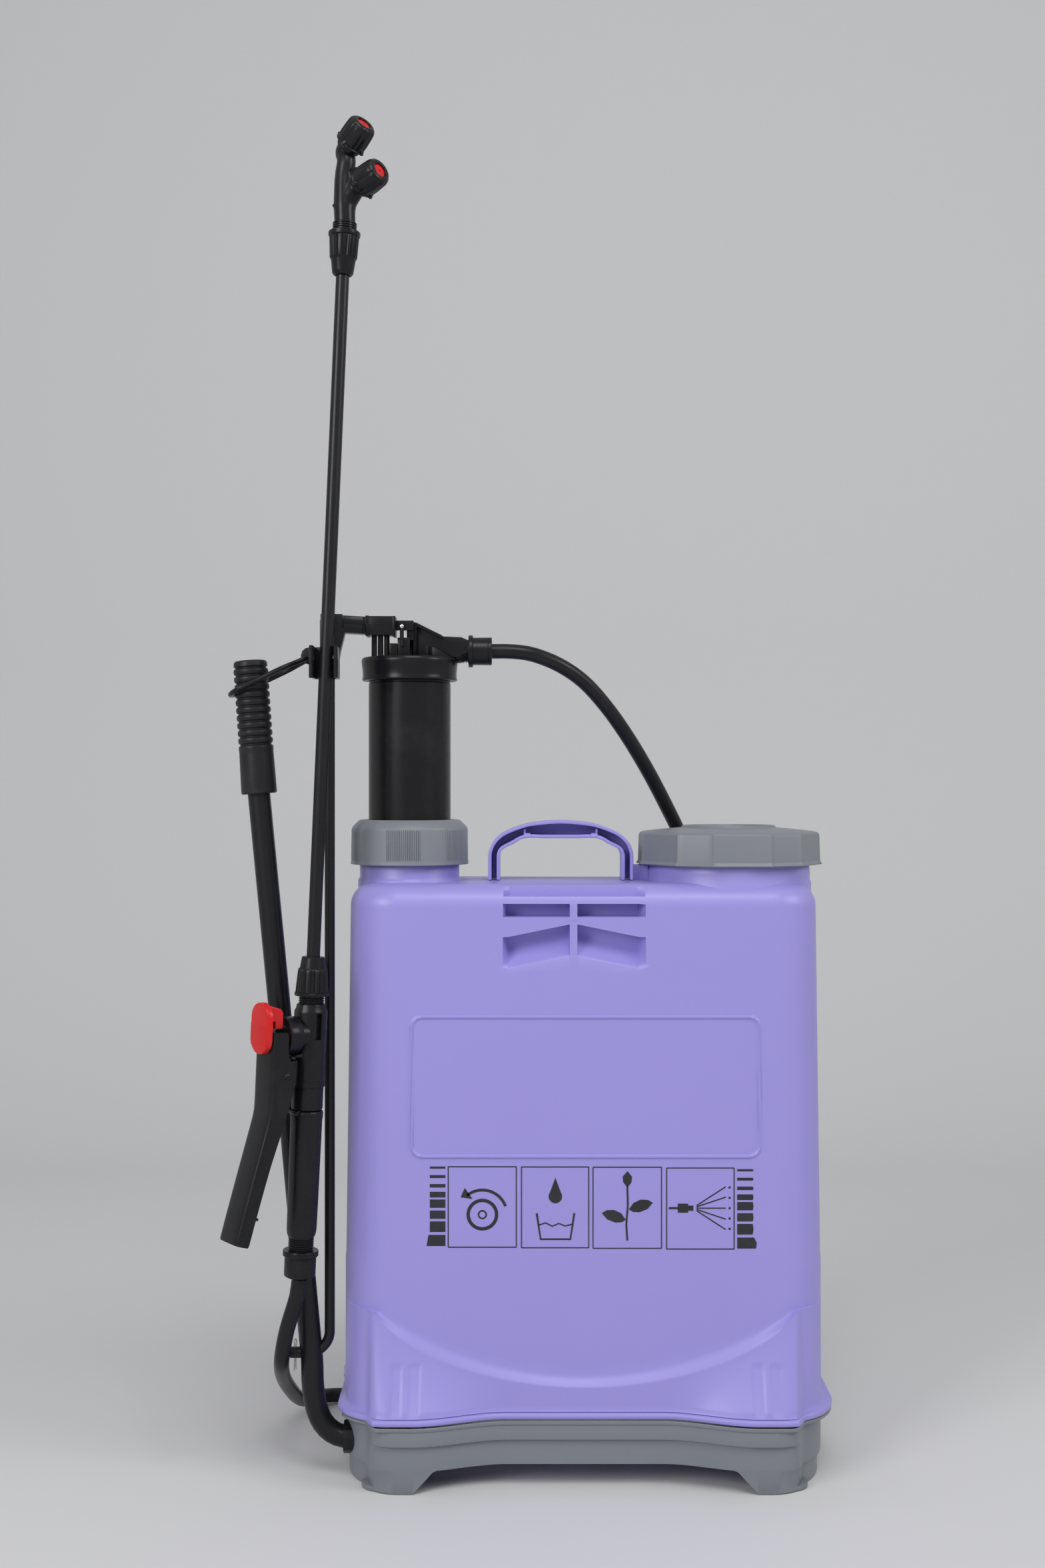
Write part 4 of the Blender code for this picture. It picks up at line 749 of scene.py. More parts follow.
# ---- Pump nut -----------------------------------------------------------------------
# The grey nut that holds the pump in its neck: chamfered at the top, flared a little at
# its foot, with six groups of fine upright ribs for the hand.
RIB_GROUP, RIB_COUNT = 33.0, 16


def nut_reach(angle, ribbed):
    """Radius at an angle: flat between the groups and ribbed within them."""
    turn = (math.degrees(angle) + 92.5 + RIB_GROUP / 2) % 60
    if turn < RIB_GROUP:
        wave = 0.5 - 0.5 * math.cos(math.tau * RIB_COUNT * turn / RIB_GROUP)
        return ribbed * (0.95 * min(1.0, 1.5 * wave) - 0.45)
    return 0.15


nut_angles = [math.radians(a / 3) for a in range(1080)]
NUT_ROWS = [(34.2, 506.0, 0), (34.2, 511.4, 0), (34.8, 512.0, 0), (39.4, 512.0, 0), (40.6, 511.5, 0),
            (45.4, 506.8, 0), (46.3, 505.4, 0.0), (46.5, 504.6, 0.3), (46.6, 503.6, 1), (46.9, 481.0, 1),
            (46.95, 480.0, 0.3), (47.0, 479.0, 0.0), (47.3, 476.9, 0), (46.9, 476.4, 0), (42.0, 476.4, 0),
            (41.4, 477.0, 0), (41.4, 490, 0)]
rings = [round_ring(nut_angles, [r + nut_reach(a, ribbed) for a in nut_angles], z)
         for r, z, ribbed in NUT_ROWS]
nut = loft("pump_nut_ribbed", rings, capped=False)
settle(nut, GREY, "root", "pump_nut", place=PUMP, angle=40)

# ---- Pump ---------------------------------------------------------------------------
# The black air vessel rises out of the nut. Its cap is rounded at the top and carries
# three posts, a ribbed bridge and the outlet pipe with its screw thread.
CAP_FOOT, CAP_TOP, CAP_R, VESSEL_R, OUTLET_Z = 623.4, 642.6, 38.85, 33.0, 647.6
vessel = turned("air_vessel_tube", [
    (VESSEL_R, 480.0), (VESSEL_R, 621.2), (32.4, 621.8), (32.4, 630), (30.0, 630), (30.0, 480.0)], 96,
                closed=True)
low_vessel = turned("air_vessel_foot", [(VESSEL_R, 175.4), (VESSEL_R, 480.0), (30.0, 480.0), (30.0, 175.4)],
                    64, closed=True)
settle(merged(vessel, low_vessel), BLACK, "plunger", "air_vessel", place=PUMP)
cap = turned("vessel_cap_ring", [
    (33.2, CAP_FOOT), (37.2, CAP_FOOT), (38.1, CAP_FOOT + 0.5), (38.3, CAP_FOOT + 1.4),
    (37.9, CAP_FOOT + 2.6), (37.8, CAP_FOOT + 5), (38.0, CAP_FOOT + 9), (38.5, CAP_FOOT + 13),
    (CAP_R, CAP_FOOT + 15.6), (38.6, CAP_FOOT + 17.2), (37.6, CAP_FOOT + 18.5), (35.8, CAP_TOP - 0.3),
    (33.4, CAP_TOP), (29.6, CAP_TOP - 0.1), (28.6, CAP_TOP - 0.9), (12.5, CAP_TOP - 0.6),
    (11.9, CAP_TOP + 5), (10.8, 652.6), (8.4, 656.2), (0, 657.4)], 96)
bits = []
for number, x in enumerate((-27.0, -22.0, -17.0)):
    post = turned(f"cap_post_{number}", [(0, 640), (2.3, 640), (2.2, 659), (0, 659)], 20)
    post.location = (x, -20, 0)
    bits.append(post)
bits += [rounded(bar(name, low, high), width) for name, low, high, width in (
    ("cap_step_low", (-15.0, -24, 640), (-8.4, -12, 652.4), 0.5),
    ("cap_step_high", (-8.4, -23, 640), (1.6, -8, 657.0), 0.6),
    ("cap_bridge", (-10.4, -24.5, 662.8), (4.4, -16.5, 670.4), 0.5),
    ("cap_bridge_back", (-1.2, -20, 655), (4.4, -9, 670.4), 0.5))]
bits += [rounded(slab(name, outline, near, -9.5), width) for name, near, width, outline in (
    ("cap_cheek", -12.5, 0.5, ((3.4, 640), (3.4, 669.6), (6.0, 669.4), (27.0, 658.8), (42.0, 658.2),
                               (48.0, 655.5), (48.0, 646), (30, 640))),
    ("cap_cheek_rib", -16.5, 0.4, ((3.4, 640), (3.4, 669.8), (6.2, 669.6), (27.4, 659.0), (27.4, 656.6),
                                   (6.6, 666.4), (6.0, 640))),
    ("cap_foot_rib", -18, 0.3, ((19.0, 640), (19.0, 649.8), (20.8, 649.8), (37.0, 640))))]
thin_rib = rounded(bar("cap_thin_rib", (14.4, -15.5, 640), (15.8, -9.5, 651)), 0.2)
pipe = turned("outlet_pipe", [(0, 4), (9.6, 4), (9.6, 41), (9.25, 41.5), (9.25, 43)]
              + thread(41.6, 1.25, 7, 8.3, 9.5, (0.15, 0.45, 0.75, 1.05))
              + [(8.3, 58), (4.2, 58), (4.2, 48), (0, 48)], 40)
pipe.data.transform(shift(0, 0, OUTLET_Z) @ SIDEWAYS)
settle(merged(cap, *bits, thin_rib, pipe), BLACK, "plunger", "vessel_cap", place=PUMP, angle=32)
bleed_pin = turned("bleed_pin", [(0, 650), (1.6, 650), (1.6, 668.2), (1.1, 668.9), (0, 669.1)], 20)
settle(bleed_pin, BLACK, "plunger", place=PUMP @ shift(-4.7, -26.2, 0))
outlet_nut = turned("outlet_nut", [
    (9.7, 47.6), (12.9, 47.6), (13.0, 48.0), (13.0, 50.4), (12.8, 50.9), (11.3, 51.2), (11.1, 52),
    (11.2, 62.6), (11.2, 63.2), (11.0, 63.5), (11.3, 63.8), (11.3, 65.7), (10.8, 66.3), (7.2, 66.4),
    (6.2, 65.8), (6.2, 60)], 48)
outlet_nut.data.transform(shift(0, 0, OUTLET_Z) @ SIDEWAYS)
settle(outlet_nut, BLACK, "plunger", "pump_hose_nut", place=PUMP)

# ---- Arm bracket --------------------------------------------------------------------
# Black moulding on the cap's posts: a boss, an arm with a recessed panel, a tapered leg
# with the lance's spring clip, and the round ear of the catch.
ROD_X, ROD_TOP, CATCH_X, CATCH_Z = -199.0, 632.0, -216.6, 638.7
boss = rounded(bar("arm_boss", (-171.0, -37.6, 658.6), (-149.8, -17.5, 673.6)), 0.8)
boss_left = rounded(bar("boss_left", (-172.4, -38.0, 657.8), (-169.6, -17.2, 674.0)), 0.6)
boss_right = rounded(bar("boss_right", (-151.0, -38.0, 657.4), (-148.6, -17.2, 673.6)), 0.6)
seam = bar("boss_seam", (-169.8, -37.75, 666.2), (-150.8, -37.5, 666.5))
bumps = []
for number, x in enumerate((-165.4, -160.4, -155.4)):
    bump = turned(f"boss_bump_{number}", [(0, 674.4), (1.0, 674.3), (1.7, 673.6), (1.7, 672), (0, 672)], 20)
    bump.location = (x, -28, 0)
    bumps.append(bump)
arm_plan = [(-171.6, -36.6), (-174.0, -36.6), (-191.5, -49.5), (-191.5, -59.6), (-205.6, -59.6),
            (-205.6, -42.5), (-172, -19.5), (-171.6, -19.5)]


def upright(name, plan, low, high):
    """A plan outline of (x, y) points as an upright block."""
    return loft(name, [[(x, y, low) for x, y in plan], [(x, y, high) for x, y in plan]])


arm = rounded(upright("arm_bar", arm_plan, 659.6, 673.2), 0.6)
lower_plan = [(-171.6, -37.6), (-174.3, -37.6), (-189.0, -48.4), (-189.0, -46.5), (-171.6, -34)]
arm_step = rounded(upright("arm_upper_band", lower_plan, 666.8, 672.6), 0.3)
leg = rounded(slab("arm_leg", [
    (-206.0, 619.5), (-195.0, 619.5), (-190.2, 645.0), (-186.4, 659.8), (-188.4, 662.5), (-188.4, 673.2),
    (-203.8, 673.2), (-206.0, 668.0)], -59.8, -48.0), 0.7)
clip_web = rounded(bar("clip_web", (-210.9, -62.8, 622.2), (-190.4, -58.6, 647)), 0.6)
clips = []
for side, x in (("left", -210.2), ("right", -191.5)):
    clip = turned(f"clip_{side}", [(0, 622.0), (2.3, 622.0), (2.8, 622.6), (2.8, 646.4), (2.3, 647.0),
                                   (0, 647.0)], 24)
    clip.scale = (0.62, 1.0, 1)
    clip.location = (x, -82.2, 0)
    clips.append(clip)
    plate_x = (-210.9, -208.5) if side == "left" else (-192.9, -190.4)
    clips.append(rounded(bar(f"clip_cheek_{side}", (plate_x[0], -84.0, 622.2),
                             (plate_x[1], -59, 646.8)), 0.6))
ear_outline = [
    (-205, 647.6), (-214.2, 647.6), (-217.8, 646.8), (-220.4, 644.6), (-221.4, 641.4), (-221.0, 638.0),
    (-218.8, 635.2), (-215.4, 634.2), (-212.0, 634.8), (-205, 631.4)]
ear = rounded(slab("catch_ear", ear_outline, SHAFT_Y - 3.0, SHAFT_Y + 3.0), 0.8, 3)
ear_panel = rounded(slab("catch_ear_panel", [
    (-206, 640.6), (-219.4, 640.6), (-218.6, 637.4), (-216.6, 636.0), (-213, 636.2), (-206, 634)],
                         SHAFT_Y - 3.3, SHAFT_Y + 3.3), 0.3)
for piece in (leg, clip_web):
    cut(applied(piece), bar("rod_slot", (ROD_X - 4.7, -75, 600), (ROD_X + 4.7, -40, 641)))
settle(merged(boss, boss_left, boss_right, seam, *bumps, arm, arm_step, leg, clip_web, *clips, ear,
              ear_panel), BLACK, "plunger", "arm_bracket", angle=32)
arm_pin = turned("arm_pin_end", [(0, -8.7), (0.9, -8.6), (1.5, -8.2), (1.7, -7.6), (1.7, 11), (0, 11)], 24)
settle(arm_pin, ZINC, "plunger", "arm_pin", place=shift(-143.7, -28, 665.5) @ rotate(-90, "X"))

# ---- Catch --------------------------------------------------------------------------
# A wire loop of black plastic that hangs from the ear and drops over the lever's grip.
CATCH_FAR = Vector((-276.4, 0, 610.2))
CATCH_NEAR = Vector((CATCH_X, 0, CATCH_Z))
reach = CATCH_FAR - CATCH_NEAR
along = reach.normalized()
HALF_NEAR, HALF_FAR, END_ROUND, WIRE_R = 9.0, 17.0, 12.0, 2.0


def loop_point(distance, side):
    return CATCH_NEAR + along * distance + Vector((0, SHAFT_Y + side, 0))


far = reach.length - END_ROUND
half_loop = [(1.2, HALF_NEAR - 0.8), (reach.length * 0.12, HALF_NEAR + 2), (reach.length * 0.3, HALF_FAR),
             (far * 0.75, HALF_FAR)]
bend = [math.radians(90 - 22.5 * index) for index in range(9)]
loop = [loop_point(distance, side) for distance, side in (
    *((0, side) for side in (-6, -2, 2, 6)), *half_loop,
    *((far + END_ROUND * math.cos(turn), HALF_FAR * math.sin(turn)) for turn in bend),
    *((distance, -side) for distance, side in reversed(half_loop)))]
ring_line = smooth_line([loop[-1], *loop, loop[0]], 2.5)[1:-1]


def closed_rings(line, radius, sides):
    """Rings square to a closed line that lies in the catch's own plane."""
    up = Vector((-along.z, 0, along.x))
    rings = []
    for index, point in enumerate(line):
        way = (line[(index + 1) % len(line)] - line[index - 1]).normalized()
        across = way.cross(up).normalized()
        rings.append([point + (up * math.cos(a) + across * math.sin(a)) * radius
                      for a in (math.tau * k / sides for k in range(sides))])
    return rings


clean = [p for i, p in enumerate(ring_line) if (p - ring_line[i - 1]).length > 0.4]
catch = loft("catch_wire", closed_rings(clean, WIRE_R, 14), closed=True)
settle(catch, BLACK, "catch", "catch_loop", angle=60)

# ---- Connecting rod -----------------------------------------------------------------
# An 8 mm steel rod painted black, with an eye flattened from its upper end; its foot is
# bent in to meet the crank pin.
CRANK, ROD_R, ROD_BEND = 65.6, 4.0, 16.8
ROD_FOOT = SHAFT_Z + CRANK
rod_line = [Vector((ROD_X, SHAFT_Y, z)) for z in (ROD_TOP - 5, ROD_TOP - 60, ROD_TOP - 250, ROD_TOP - 400)]
for degrees in range(0, 61, 6):
    turn = math.radians(degrees)
    rod_line.append(Vector((ROD_X - ROD_BEND * (1 - math.cos(turn)), SHAFT_Y, ROD_FOOT
                            + ROD_BEND * (1 - math.sin(turn)))))
rod = loft("rod_bar", tube_rings(rod_line, ROD_R, 24))
eye = turned("rod_eye", [(3.3, -3.9), (6.6, -3.9), (7.0, -3.4), (7.0, 3.4), (6.6, 3.9), (3.3, 3.9)], 32,
             closed=True)
eye.data.transform(shift(ROD_X, SHAFT_Y, ROD_TOP) @ SIDEWAYS)
settle(merged(rod, eye), PAINT, "rod", "connecting_rod", angle=40)

# ---- Lever --------------------------------------------------------------------------
# One bent steel tube, painted gloss black: the shaft through the base, an elbow beside the
# tank, and the arm up to a ribbed rubber grip. The crank pin drives the rod.
LEVER_R = 8.75
GRIP_LOW, GRIP_HIGH = Vector((-254.2, SHAFT_Y, 533)), Vector((-261.4, SHAFT_Y, 637.3))
GRIP_WAY = (GRIP_HIGH - GRIP_LOW).normalized()
GRIP_LONG = (GRIP_HIGH - GRIP_LOW).length
elbow = [(-124, 0, 0), (-150, 0, 0), (-176, 0, 0), (-188, 0, 0), (-197, 0, 3.5), (-204.5, 0, 11),
         (-209.5, 0, 23), (-212.2, 0, 40), (-213, 0, 61), (-217, 0, 105), (-233, 0, 280)]
lever_points = [(x, SHAFT_Y + y, SHAFT_Z + z) for x, y, z in elbow]
lever_points += [GRIP_LOW - GRIP_WAY * 10, GRIP_LOW + GRIP_WAY * 4, GRIP_HIGH - GRIP_WAY * 8]
lever_line = smooth_line(lever_points, 5)
lever = loft("lever_bar", tube_rings(lever_line, LEVER_R, 36))
settle(lever, PAINT, "lever", "lever_tube", angle=50)
grip_profile = [
    (0, GRIP_LONG), (9.0, GRIP_LONG), (11.4, GRIP_LONG - 0.3), (12.7, GRIP_LONG - 1.3),
    (13.1, GRIP_LONG - 2.8)]
for index in range(11):
    foot = GRIP_LONG - 5.2 - 6.0 * index
    grip_profile += [(13.2, foot + 0.5), (12.6, foot), (12.1, foot - 0.4), (12.1, foot - 1.1),
                     (12.7, foot - 1.5), (13.3, foot - 2.0), (13.55, foot - 3.2), (13.5, foot - 4.4)]
grip_profile += [(13.3, GRIP_LONG - 72.0), (13.4, GRIP_LONG - 74), (13.7, GRIP_LONG - 90), (13.9, 2.2),
                 (13.8, 0.9), (13.2, 0.1), (12.6, 0), (9.1, 0), (9.1, 2)]
grip = turned("lever_grip_sleeve", grip_profile, 72)
settle(grip, RUBBER, "lever", "lever_grip", place=shift(*GRIP_LOW) @ aim(GRIP_WAY), angle=30)
crank = turned("crank_bolt", [(0, 8), (4.0, 8), (4.4, 7), (4.4, -12.3), (3.9, -13.0), (0, -13.0)], 32)
settle(crank, PAINT, "lever", "crank_pin", place=shift(-217, SHAFT_Y, SHAFT_Z + CRANK) @ SIDEWAYS)
collar = turned("shaft_ring", [(8.9, -127), (13.4, -127), (14, -127.6), (14, -134.4), (13.4, -135),
                               (8.9, -135)], 40, closed=True)
settle(collar, ZINC, "lever", "shaft_collar", place=shift(0, SHAFT_Y, SHAFT_Z) @ SIDEWAYS)

# ---- Split pin ----------------------------------------------------------------------
# A hairpin of bright steel wire hangs through the crank pin's outer end.
legs = [(-226.8, 81.0), (-226.5, 86), (-226.5, 100), (-226.9, 103.5), (-226.6, 105.6), (-226.0, 106.3),
        (-225.4, 105.6), (-225.1, 103.5), (-225.5, 100), (-225.5, 86), (-225.1, 82.4)]
hairpin = loft("split_pin", tube_rings(smooth_line([(x, SHAFT_Y, z) for x, z in legs], 0.7), 0.5, 10))
settle(hairpin, ZINC, "lever", "cotter_pin", angle=60)

# ---- Lance --------------------------------------------------------------------------
# A long steel tube painted gloss black between two ribbed nuts: the lower one screws it to
# the trigger valve, the upper one carries the nozzle head.
LANCE = shift(-208.3, -77, 425.6) @ rotate(2.464, "Y")
VALVE = LANCE @ shift(0, 0, -425.6) @ rotate(218, "Z")
TRIGGER_D, TRIGGER_Z, VALVE_Z = 26.0, 318.7, 348.0


def ribbed(name, rows, count, sides_each=8, sharp=2.2):
    """Rings of (radius, height, rib): count upright ribs that stand out by rib."""
    angles = [math.tau * k / (count * sides_each) for k in range(count * sides_each)]
    ribs = [min(1.0, (0.5 + 0.5 * math.cos(count * angle)) * sharp) for angle in angles]
    return loft(name, [round_ring(angles, [radius + rib * out for out in ribs], height)
                       for radius, height, rib in rows], capped=False)


lance = turned("lance_bar", [(5.15, 395), (5.15, 946), (4.2, 946), (4.2, 395)], 40, closed=True)
settle(lance, PAINT, "lance", "lance_tube", place=VALVE, angle=50)
lower_nut = ribbed("lower_nut", [
    (5.3, 407.2, 0), (5.6, 407.8, 0), (8.2, 407.8, 0), (8.75, 407.2, 0), (9.9, 399.2, 0),
    (10.1, 398.8, 0.5), (10.3, 398.2, 0.75), (10.6, 396, 0.8), (11.7, 382, 0.8), (11.9, 380.9, 0.7),
    (12.0, 380.5, 0.3), (12.9, 380.4, 0), (13.1, 380.1, 0), (13.1, 378.1, 0), (12.8, 377.7, 0),
    (10.2, 377.7, 0), (10.2, 380, 0)], 18)
settle(lower_nut, BLACK, "lance", "lance_nut_lower", place=VALVE, angle=28)
upper_nut = ribbed("upper_nut", [
    (9.6, 963, 0), (9.6, 966, 0), (11.7, 966, 0), (12.3, 965.3, 0), (12.35, 963.2, 0), (12.1, 962.3, 0),
    (11.2, 961.9, 0.2), (10.75, 961.2, 0.75), (9.9, 946.4, 0.75), (9.7, 945.4, 0.6), (9.6, 944.6, 0.1),
    (9.5, 944.0, 0), (8.4, 935.4, 0), (8.1, 934.0, 0), (7.3, 932.6, 0), (6.4, 932.2, 0), (5.5, 932.8, 0),
    (5.3, 936, 0)], 18)
settle(upper_nut, BLACK, "lance", "lance_nut_upper", place=VALVE, angle=28)

# ---- Nozzle head --------------------------------------------------------------------
# A smooth forked moulding over a threaded foot. Each fork ends in a fluted screw cap with
# a red spray disc; the caps turn on their own threads.
NOZZLES = (("nozzle_upper", (-174.8, -83.0, 1039.0), (0.58, -0.51, 0.63)),
           ("nozzle_lower", (-163.6, -88.0, 1004.5), (0.73, -0.61, 0.31)))
NOZZLE_HALF, FORK_VOXEL = 10.5, 0.75
FORKS = (((-184.75, -77, 974), (-185.3, -76.8, 990), (-185.2, -76.4, 1008), (-183.6, -76.6, 1020)),
         ((-184.6, -77.0, 976), (-183.8, -76.6, 987), (-180.0, -77.2, 994)))
FORK_RADII = ((8.2, 8.3, 7.8, 7.4, 7.3, 7.7), (7.6, 8.0, 7.9, 7.7))
lumps = []


def value_at(values, share):
    """The value at a share of the way along an even list."""
    place = share * (len(values) - 1)
    low, high = (values[min(len(values) - 1, int(place) + step)] for step in (0, 1))
    return low + (high - low) * (place % 1)


for number, ((_, middle, way), fork, widths) in enumerate(zip(NOZZLES, FORKS, FORK_RADII)):
    way = Vector(way).normalized()
    end = Vector(middle) - way * (NOZZLE_HALF + 1.0)
    line = smooth_line([*fork, Vector(middle) - way * (NOZZLE_HALF + 7), end], 2)
    spread = [value_at(widths, i / (len(line) - 1)) for i in range(len(line))]
    lumps.append(loft(f"fork_{number}", tube_rings(line, spread, 24)))
foot = turned("fork_foot", [(0, 971.5), (8.1, 971.5), (8.0, 976), (7.6, 982), (0, 984)], 40)
foot.data.transform(VALVE)
pip = turned("fork_pip", [(0, 0), (0.9, 0), (0.9, 3.0), (0, 3.2)], 12)
pip.data.transform(shift(-191.4, -79.6, 985.0) @ rotate(-90, "Y"))
web = loft("fork_web", [[(-184, -77, 981), (-177, -80, 994), (-172.5, -83, 999), (-176.5, -82, 1011),
                         (-182, -78, 1008)], [
    (-184, -81, 981), (-177, -84, 994), (-172.5, -87, 999), (-176.5, -86, 1011), (-182, -82, 1008)]])
merged(lumps[0], lumps[1], foot, pip, web)
fork = lumps[0]
blend = fork.modifiers.new("one_body", "REMESH")
blend.mode = "VOXEL"
blend.voxel_size = FORK_VOXEL
ease = fork.modifiers.new("ease", "SMOOTH")
ease.iterations = 7
ease.factor = 0.6
applied(fork)
threads = turned("fork_thread", [(0, 948), (9.0, 948), (9.0, 966.0)]
                 + thread(966.2, 1.75, 4, 8.6, 9.3, (0.1, 0.5, 1.1, 1.5))
                 + [(7.9, 973.4), (0, 973.4)], 48)
threads.data.transform(VALVE)
necks = []
for number, (_, middle, way) in enumerate(NOZZLES):
    neck = turned(f"fork_neck_{number}", [
        (0, 4.5), (7.4, 4.5), (7.4, -10.4), (9.2, -11.0), (9.5, -11.8), (9.5, -13.2), (9.0, -14.0),
        (7.4, -14.8), (0, -14.8)], 40)
    neck.data.transform(shift(*middle) @ aim(way))
    necks.append(neck)
settle(merged(fork, threads, *necks), BLACK, "lance", "nozzle_body", angle=40)
CAP_ROWS = [(7.8, -9.6, 0), (8.2, -10.5, 0), (11.3, -10.5, 0), (12.0, -10.1, 0), (12.1, -9.2, 0),
            (11.7, -8.6, 0), (11.2, -8.4, 0.1), (10.9, -7.8, 0.7), (10.85, -4, 0.9), (10.7, 0, 0.95),
            (10.5, 3.6, 0.95), (10.35, 6.0, 0.9), (10.1, 7.6, 0.75), (9.6, 8.9, 0.5), (8.9, 9.8, 0.2),
            (8.1, 10.3, 0), (7.2, 10.5, 0), (6.1, 10.4, 0), (5.7, 10.0, 0), (5.6, 8.4, 0), (7.6, 8.2, 0)]
for number, (body, middle, way) in enumerate(NOZZLES, start=1):
    place = shift(*middle) @ aim(way)
    screw_cap = ribbed(f"screw_cap_{number}", CAP_ROWS, 8, sides_each=14, sharp=4.0)
    lugs = []
    for quarter in range(4):
        lug = rounded(slab(f"cap_lug_{quarter}", [(10.6, -10.4), (12.6, -10.3), (13.5, -9.7), (12.9, -8.7),
                                                  (10.6, -6.2)], -1.5, 1.5), 0.3)
        applied(lug).data.transform(rotate(90 * quarter + 22.5, "Z"))
        lugs.append(lug)
    settle(merged(screw_cap, *lugs), BLACK, body, f"nozzle_cap_{number}", place=place, angle=40)
    disc = turned(f"spray_disc_{number}", [(0.7, 9.0), (0.75, 9.4), (1.6, 9.5), (4.8, 9.5), (5.3, 9.2),
                                           (5.3, 7.4), (0.7, 7.4)], 36)
    settle(disc, RED, body, f"nozzle_disc_{number}", place=place)

# ---- Trigger valve ------------------------------------------------------------------
# The valve's upright body has a thread and shoulder on top, a slot in its side, a round
# side cap over the stem, and a ring and coupling where the handle screws on.
def facet_rings(rows, corners, corner_share=0.30):
    """Rings of (reach to a flat, height) with eight flats and eased corners."""
    half = math.pi / corners
    turns = [half * share for share in (-1 + corner_share, 1 - corner_share)] * corners
    angles = [math.tau * (index // 2) / corners + turn for index, turn in enumerate(turns)]
    return [round_ring(angles, [reach / math.cos(turn) for turn in turns], height) for reach, height in rows]


valve = loft("valve_column", facet_rings([
    (10.4, 371.4), (10.7, 370.6), (10.8, 368.8), (12.0, 366.4), (12.2, 365.2), (12.2, 313.0),
    (11.0, 312.6)], 8, 0.22))
THREAD_STEPS = (0.1, 0.55, 1.0, 1.5)
valve_thread = turned("valve_thread", [(0, 368)] + thread(371.4, 1.75, 4, 9.0, 9.9, THREAD_STEPS)
                      + [(9.0, 378.6), (5.6, 398), (0, 398)], 40)
valve_ring = turned("valve_ring", [
    (0, 314.0), (11.6, 313.8), (12.8, 313.0), (13.0, 312.2), (13.0, 308.6), (12.7, 308.0), (11.9, 307.8),
    (11.9, 307.2), (12.1, 306.9), (12.15, 292.0), (11.9, 291.0), (11.4, 290.5), (0, 290.5)], 48)
cut(valve, bar("valve_slot", (-2.6, 8.6, 345.0), (2.6, 14.0, 365.0)))
barrel = turned("valve_barrel", [(0, 6), (11.3, 6), (11.3, 21.6), (3.2, 21.6), (3.2, 19), (0, 19)], 40)
barrel.data.transform(shift(0, 0, VALVE_Z) @ SIDEWAYS)
lug = rounded(slab("valve_lug", [
    (6, 330), (22, 327.5), (28.5, 324.5), (31.2, 320.6), (31.2, 316.8), (28.5, 312.8), (6, 308)], -4, 4), 0.6)
blade = rounded(slab("valve_blade", [(8, 334.5), (17, 333.2), (17, 332.0), (8, 331.0)], -7.5, 7.5), 0.4)
settle(merged(valve, valve_thread, valve_ring, barrel, lug, blade), BLACK, "lance", "valve_body",
       place=VALVE, angle=30)
side_cap = turned("side_cap", [
    (11.6, 13.2), (13.4, 13.2), (14.2, 13.6), (14.5, 14.4), (14.5, 23.4), (14.2, 24.4), (13.2, 25),
    (9.4, 25), (9.0, 24.6), (3.2, 24.4), (3.2, 22)], 48)
settle(side_cap, BLACK, "lance", "valve_cap", place=VALVE @ shift(0, 0, VALVE_Z) @ SIDEWAYS)
stem = turned("stem_rod", [(0, 2), (2.6, 2), (2.6, 35.8), (2.0, 36.5), (0, 36.6)], 24)
settle(stem, ZINC, "stem", "valve_stem", place=VALVE @ shift(0, 0, VALVE_Z) @ SIDEWAYS)

# ---- Handle -------------------------------------------------------------------------
# The eight-sided black handle tapers a little towards its foot, where a thread takes the
# hose nut.
handle_grip = loft("handle_grip", facet_rings([
    (10.4, 290.0), (11.6, 289.4), (12.1, 288.2), (12.1, 285.0), (11.7, 282.0), (11.0, 198.0), (10.6, 194.6),
    (9.4, 191.4)], 8, 0.22))
handle_thread = turned("handle_thread", [(0, 192.6)]
                       + thread(191.4, 1.75, 6, 8.9, 9.8, THREAD_STEPS, way=-1)
                       + [(8.9, 171), (0, 171)], 40)
ledge = rounded(slab("handle_ledge", [(8.0, 291.0), (13.0, 289.6), (13.0, 287.6), (8.0, 284.0)], -6, 6), 0.5)
settle(merged(handle_grip, handle_thread, ledge), BLACK, "lance", "lance_grip", place=VALVE, angle=30)
hose_nut = loft("handle_nut_body", facet_rings([(11.4, 178.6), (11.7, 177.8), (11.7, 163.2), (11.3, 162.0),
                                                (10.2, 161.2)], 8, 0.30))
hose_collar = turned("handle_nut_collar", [(9.9, 177.6), (13.3, 177.6), (13.7, 178.0), (13.7, 181.4),
                                           (13.4, 182), (9.9, 182)], 48, closed=True)
settle(merged(hose_nut, hose_collar), BLACK, "lance", "handle_hose_nut", place=VALVE, angle=30)

